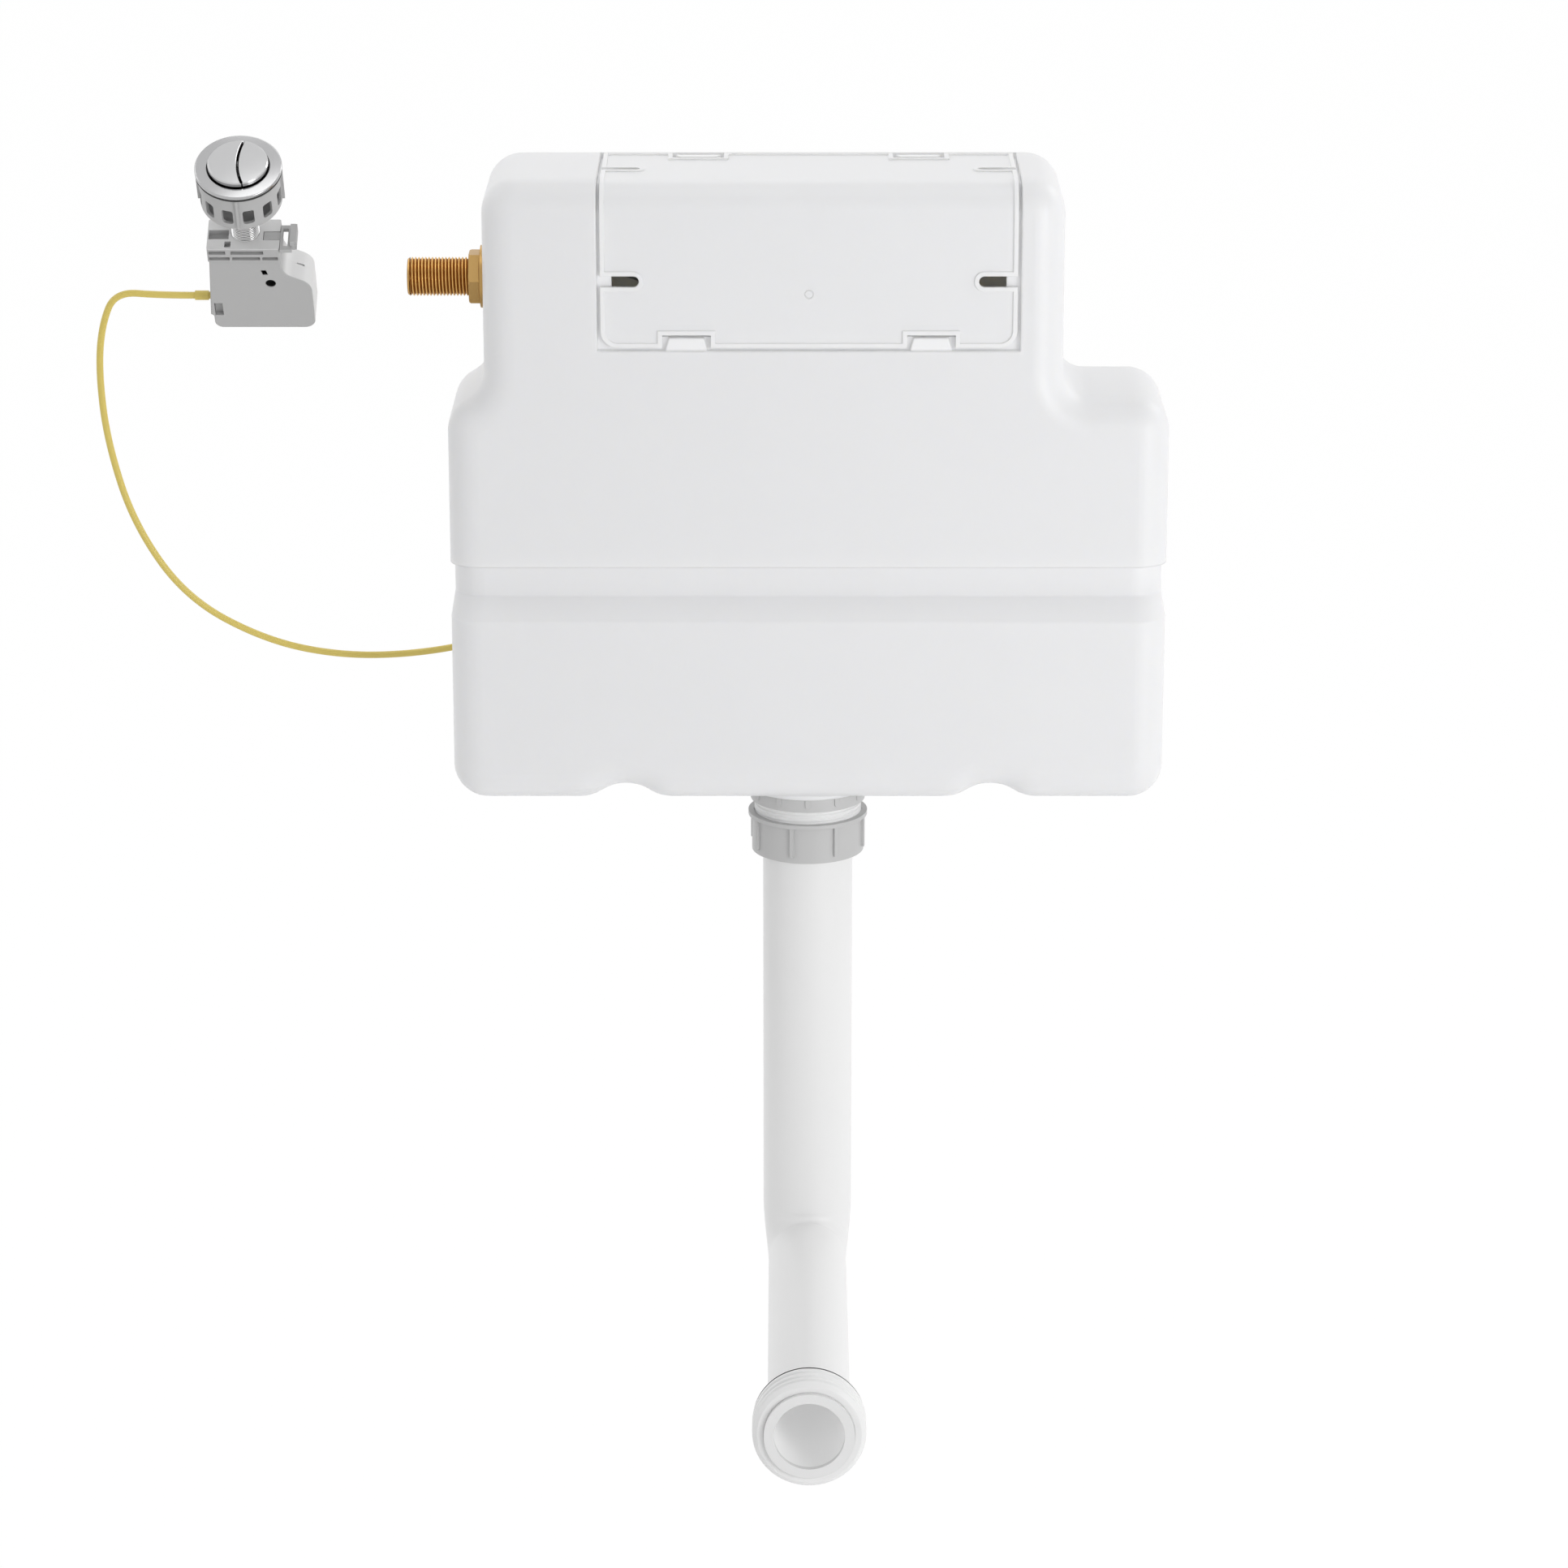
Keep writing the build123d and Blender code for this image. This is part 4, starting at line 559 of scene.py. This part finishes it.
def coiled(radius, wire, height, turns, foot, along, side):
    """A compression spring: a round wire on a helix whose pitch closes up over the first and last turn.

    centre = foot + along * rise(t) + radius * (cos, sin)(t), and the wire's ring stands across the helix.
    """
    t = np.linspace(0.0, 1.0, int(turns * steps_per_turn))
    spread = np.clip((t * turns - 1.0) / (turns - 2.0), 0.0, 1.0)
    end_turns = np.clip(t * turns, 0.0, 1.0) + np.clip(t * turns - turns + 1.0, 0.0, 1.0)
    rise = wire + spread * (height - 4.0 * wire) + wire * end_turns
    along = np.array(along, float)
    side = np.array(side, float)
    across = np.cross(along, side)
    angle = 2.0 * pi * turns * t
    out = np.cos(angle)[:, None] * side + np.sin(angle)[:, None] * across
    centre = np.array(foot, float) + rise[:, None] * along + radius * out
    heading = np.gradient(centre, axis=0)
    heading = heading / np.linalg.norm(heading, axis=1)[:, None]
    up = np.cross(heading, out)
    ring = np.linspace(0.0, 2.0 * pi, wire_sides, endpoint=False)[None, :, None]
    tube = centre[:, None, :] + wire * (np.cos(ring) * out[:, None, :] + np.sin(ring) * up[:, None, :])
    poles = np.repeat(centre[[0, -1], None, :], wire_sides, axis=1)
    return np.concatenate([poles[:1], tube, poles[1:]])


inlet_sides = 120
stem_sides = 96
wide_sides = 160

# Each profile is a ring of (place, radius) corners. Each thread is its first and last place, pitch, depth,
# the place of one crest, and the parts of its wave where it leaves the root and reaches the crest.
inlet_profile = (
    (0.0, 6.0), (0.0, 9.5), (0.5, 10.0), (1.1, 10.0), (1.1, 10.4775), (45.3, 10.4775), (47.3, 10.4775),
    (47.3, 15.0), (50.3, 15.0), (50.3, 7.5), (60.3, 7.5), (60.3, 6.0),
)
inlet_thread = (1.1, 43.7, 1.814, 1.162, 2.45, 0.0, 0.9)
inlet = turned(inlet_profile, inlet_thread, inlet_sides, inlet_start, rightwards, upwards)
ring_mesh("inlet_thread", inlet, "inlet_brass", "tank", "inlet_shank")

tail_profile = (
    (0.0, 25.0), (0.0, 27.8), (0.6, 28.4), (2.5, 28.4), (2.5, 29.8), (35.2, 29.8), (36.0, 29.8),
    (36.0, 37.0), (40.0, 37.0), (40.0, 33.3), (50.0, 33.3), (50.0, 30.9), (40.0, 30.9), (40.0, 27.0),
    (42.7, 27.0), (42.7, 25.0),
)
tail_thread = (2.5, 35.2, 2.309, 0.75, 3.6, 0.12, 0.75)
tail = turned(tail_profile, tail_thread, wide_sides, tail_start, upwards, forwards)
ring_mesh("outlet_tail", tail, "tail_white", "tank", "flush_valve_base")

stem_profile = (
    (0.0, 5.5), (0.0, 7.0), (1.3, 7.0), (1.3, 7.6), (28.9, 7.6), (31.3, 7.6), (31.3, 9.4), (32.8, 9.4),
    (32.8, 5.5),
)
stem_thread = (1.3, 28.9, 1.3, 0.6, 1.9, 0.15, 0.85)
stem_start = module_origin - stem_drop * module_up
stem = turned(stem_profile, stem_thread, stem_sides, stem_start, module_up, -module_back)
ring_mesh("button_stem", stem, "stem_chrome", "tank", "threaded_tube")

collar_profile = (
    (0.0, 22.0), (0.0, 28.9), (0.3, 29.2), (0.3, 30.15), (17.3, 30.15), (18.2, 29.9), (19.7, 28.2),
    (20.2, 27.6), (20.2, 24.6), (20.0, 24.1), (19.6, 24.05), (19.6, 22.0),
)
collar_thread = (0.3, 17.3, 5.7, 1.0, 3.0, 0.2, 0.6)
collar = turned(collar_profile, collar_thread, wide_sides, collar_start, forwards, upwards)
ring_mesh("outlet_thread", collar, "pipe_white", "tank", "outlet_collar")

# The springs' feet in the module's frame, and their radius, wire radius, height and turns
spring_out = 13.0
spring_back = 2.9
spring_down = 25.7
spring = (2.6, 0.4, 13.3, 7.0)
for name, way in (("full_return_spring", -1.0), ("half_return_spring", 1.0)):
    sideways = spring_out * way * module_right + spring_back * way * module_back
    foot = module_origin + sideways - spring_down * module_up
    ring_mesh(name + "_coil", coiled(*spring, foot, module_up, module_right), "steel_wire", "tank", name)


# The stage: a pale floor, white surroundings and plain soft light
def light(name, place, aim, size, power):
    """A square area lamp at a place that faces an aim."""
    lamp = bpy.data.lights.new(name, "AREA")
    lamp.size = size
    lamp.energy = power
    holder = bpy.data.objects.new(name, lamp)
    holder.location = place
    way = np.array(aim, float) - np.array(place, float)
    flat = float(np.hypot(way[0], way[1]))
    turn = float(np.arctan2(way[1], way[0]) - pi / 2)
    holder.rotation_euler = (float(np.arctan2(flat, -way[2])), 0.0, turn)
    bpy.context.scene.collection.objects.link(holder)


def make_floor():
    """A wide pale floor that the camera sees as white, apart from the object's shadow."""
    half = 9.0
    level = -0.95
    floor_white = grey(0.86)
    floor_glow = 1.01
    glow_share = 0.97
    corners = [(-half, -half, level), (half, -half, level), (half, half, level), (-half, half, level)]
    mesh = bpy.data.meshes.new("floor")
    mesh.from_pydata(corners, [], [(0, 1, 2, 3)])
    floor = bpy.data.objects.new("floor", mesh)
    bpy.context.scene.collection.objects.link(floor)
    finish = Finish("floor_white", Base_Color=floor_white, Roughness=0.9)
    direct = finish.node("ShaderNodeLightPath", output="Is Camera Ray")
    mirrored = finish.node("ShaderNodeLightPath", output="Is Glossy Ray")
    through = finish.node("ShaderNodeLightPath", output="Is Transmission Ray")
    seen = direct.at_least(mirrored).at_least(through)
    glow = finish.node("ShaderNodeEmission", None, {"Color": grey(1.0), "Strength": floor_glow})
    shader = Value(finish, finish.shader.outputs[0])
    mixed = finish.node("ShaderNodeMixShader", None, {0: seen * glow_share, 1: shader, 2: glow})
    finish.tree.links.new(mixed.socket, finish.tree.nodes["Material Output"].inputs["Surface"])
    mesh.materials.append(finish.material)


make_floor()
world = bpy.data.worlds.new("surroundings")
bpy.context.scene.world = world
world.use_nodes = True
world_nodes = world.node_tree.nodes
world_links = world.node_tree.links
background = world_nodes["Background"]
background.inputs["Color"].default_value = (1.0, 1.0, 1.0, 1.0)


def world_node(kind, settings, **inputs):
    """Adds a node to the world's tree with its settings and the values or links of its sockets."""
    made = world_nodes.new(kind)
    for key, value in settings.items():
        setattr(made, key, value)
    for key, value in inputs.items():
        socket = made.inputs[int(key[1:])]
        if isinstance(value, bpy.types.NodeSocket):
            world_links.new(value, socket)
        else:
            socket.default_value = value
    return made.outputs


# The surroundings are dimmer high in front of the tank, and white where they are seen or mirrored
dim_way = (0.1, -0.35, 0.93)
dim_from = 0.2
open_level = 1.13
dim_level = 0.25
largest = {"operation": "MAXIMUM"}
way = world_node("ShaderNodeTexCoord", {})["Generated"]
towards = world_node("ShaderNodeVectorMath", {"operation": "DOT_PRODUCT"}, _0=way, _1=dim_way)["Value"]
level = world_node("ShaderNodeMapRange", {"interpolation_type": "SMOOTHSTEP"},
                   _0=towards, _1=dim_from, _2=1.0, _3=open_level, _4=dim_level)
rays = world_node("ShaderNodeLightPath", {})
seen = world_node("ShaderNodeMath", largest, _0=rays["Is Camera Ray"], _1=rays["Is Glossy Ray"])
seen = world_node("ShaderNodeMath", largest, _0=seen["Value"], _1=rays["Is Transmission Ray"])
level = world_node("ShaderNodeMix", {"data_type": "FLOAT"}, _0=seen["Value"], _2=level["Result"], _3=1.0)
world_links.new(level["Result"], background.inputs["Strength"])

# Each lamp's name, place and aim, in metres, and its width and power
lamps = (
    ("key", (1.2, -1.55, -0.1), (0.0, -0.1, -0.2), 0.9, 12.5),
    ("top", (0.05, -0.6, 2.2), (-0.3, -0.1, 0.04), 1.3, 8.0),
    ("left", (-1.9, 0.3, 1.6), (0.0, -0.1, 0.0), 1.2, 6.0),
    ("back", (-0.1, 1.4, 1.7), (-0.1, -0.06, 0.0), 1.2, 4.0),
    ("right", (1.7, 1.0, 1.3), (-0.27, -0.06, -0.02), 0.8, 8.0),
)
for lamp in lamps:
    light(*lamp)

bpy.context.scene.view_settings.view_transform = "Standard"
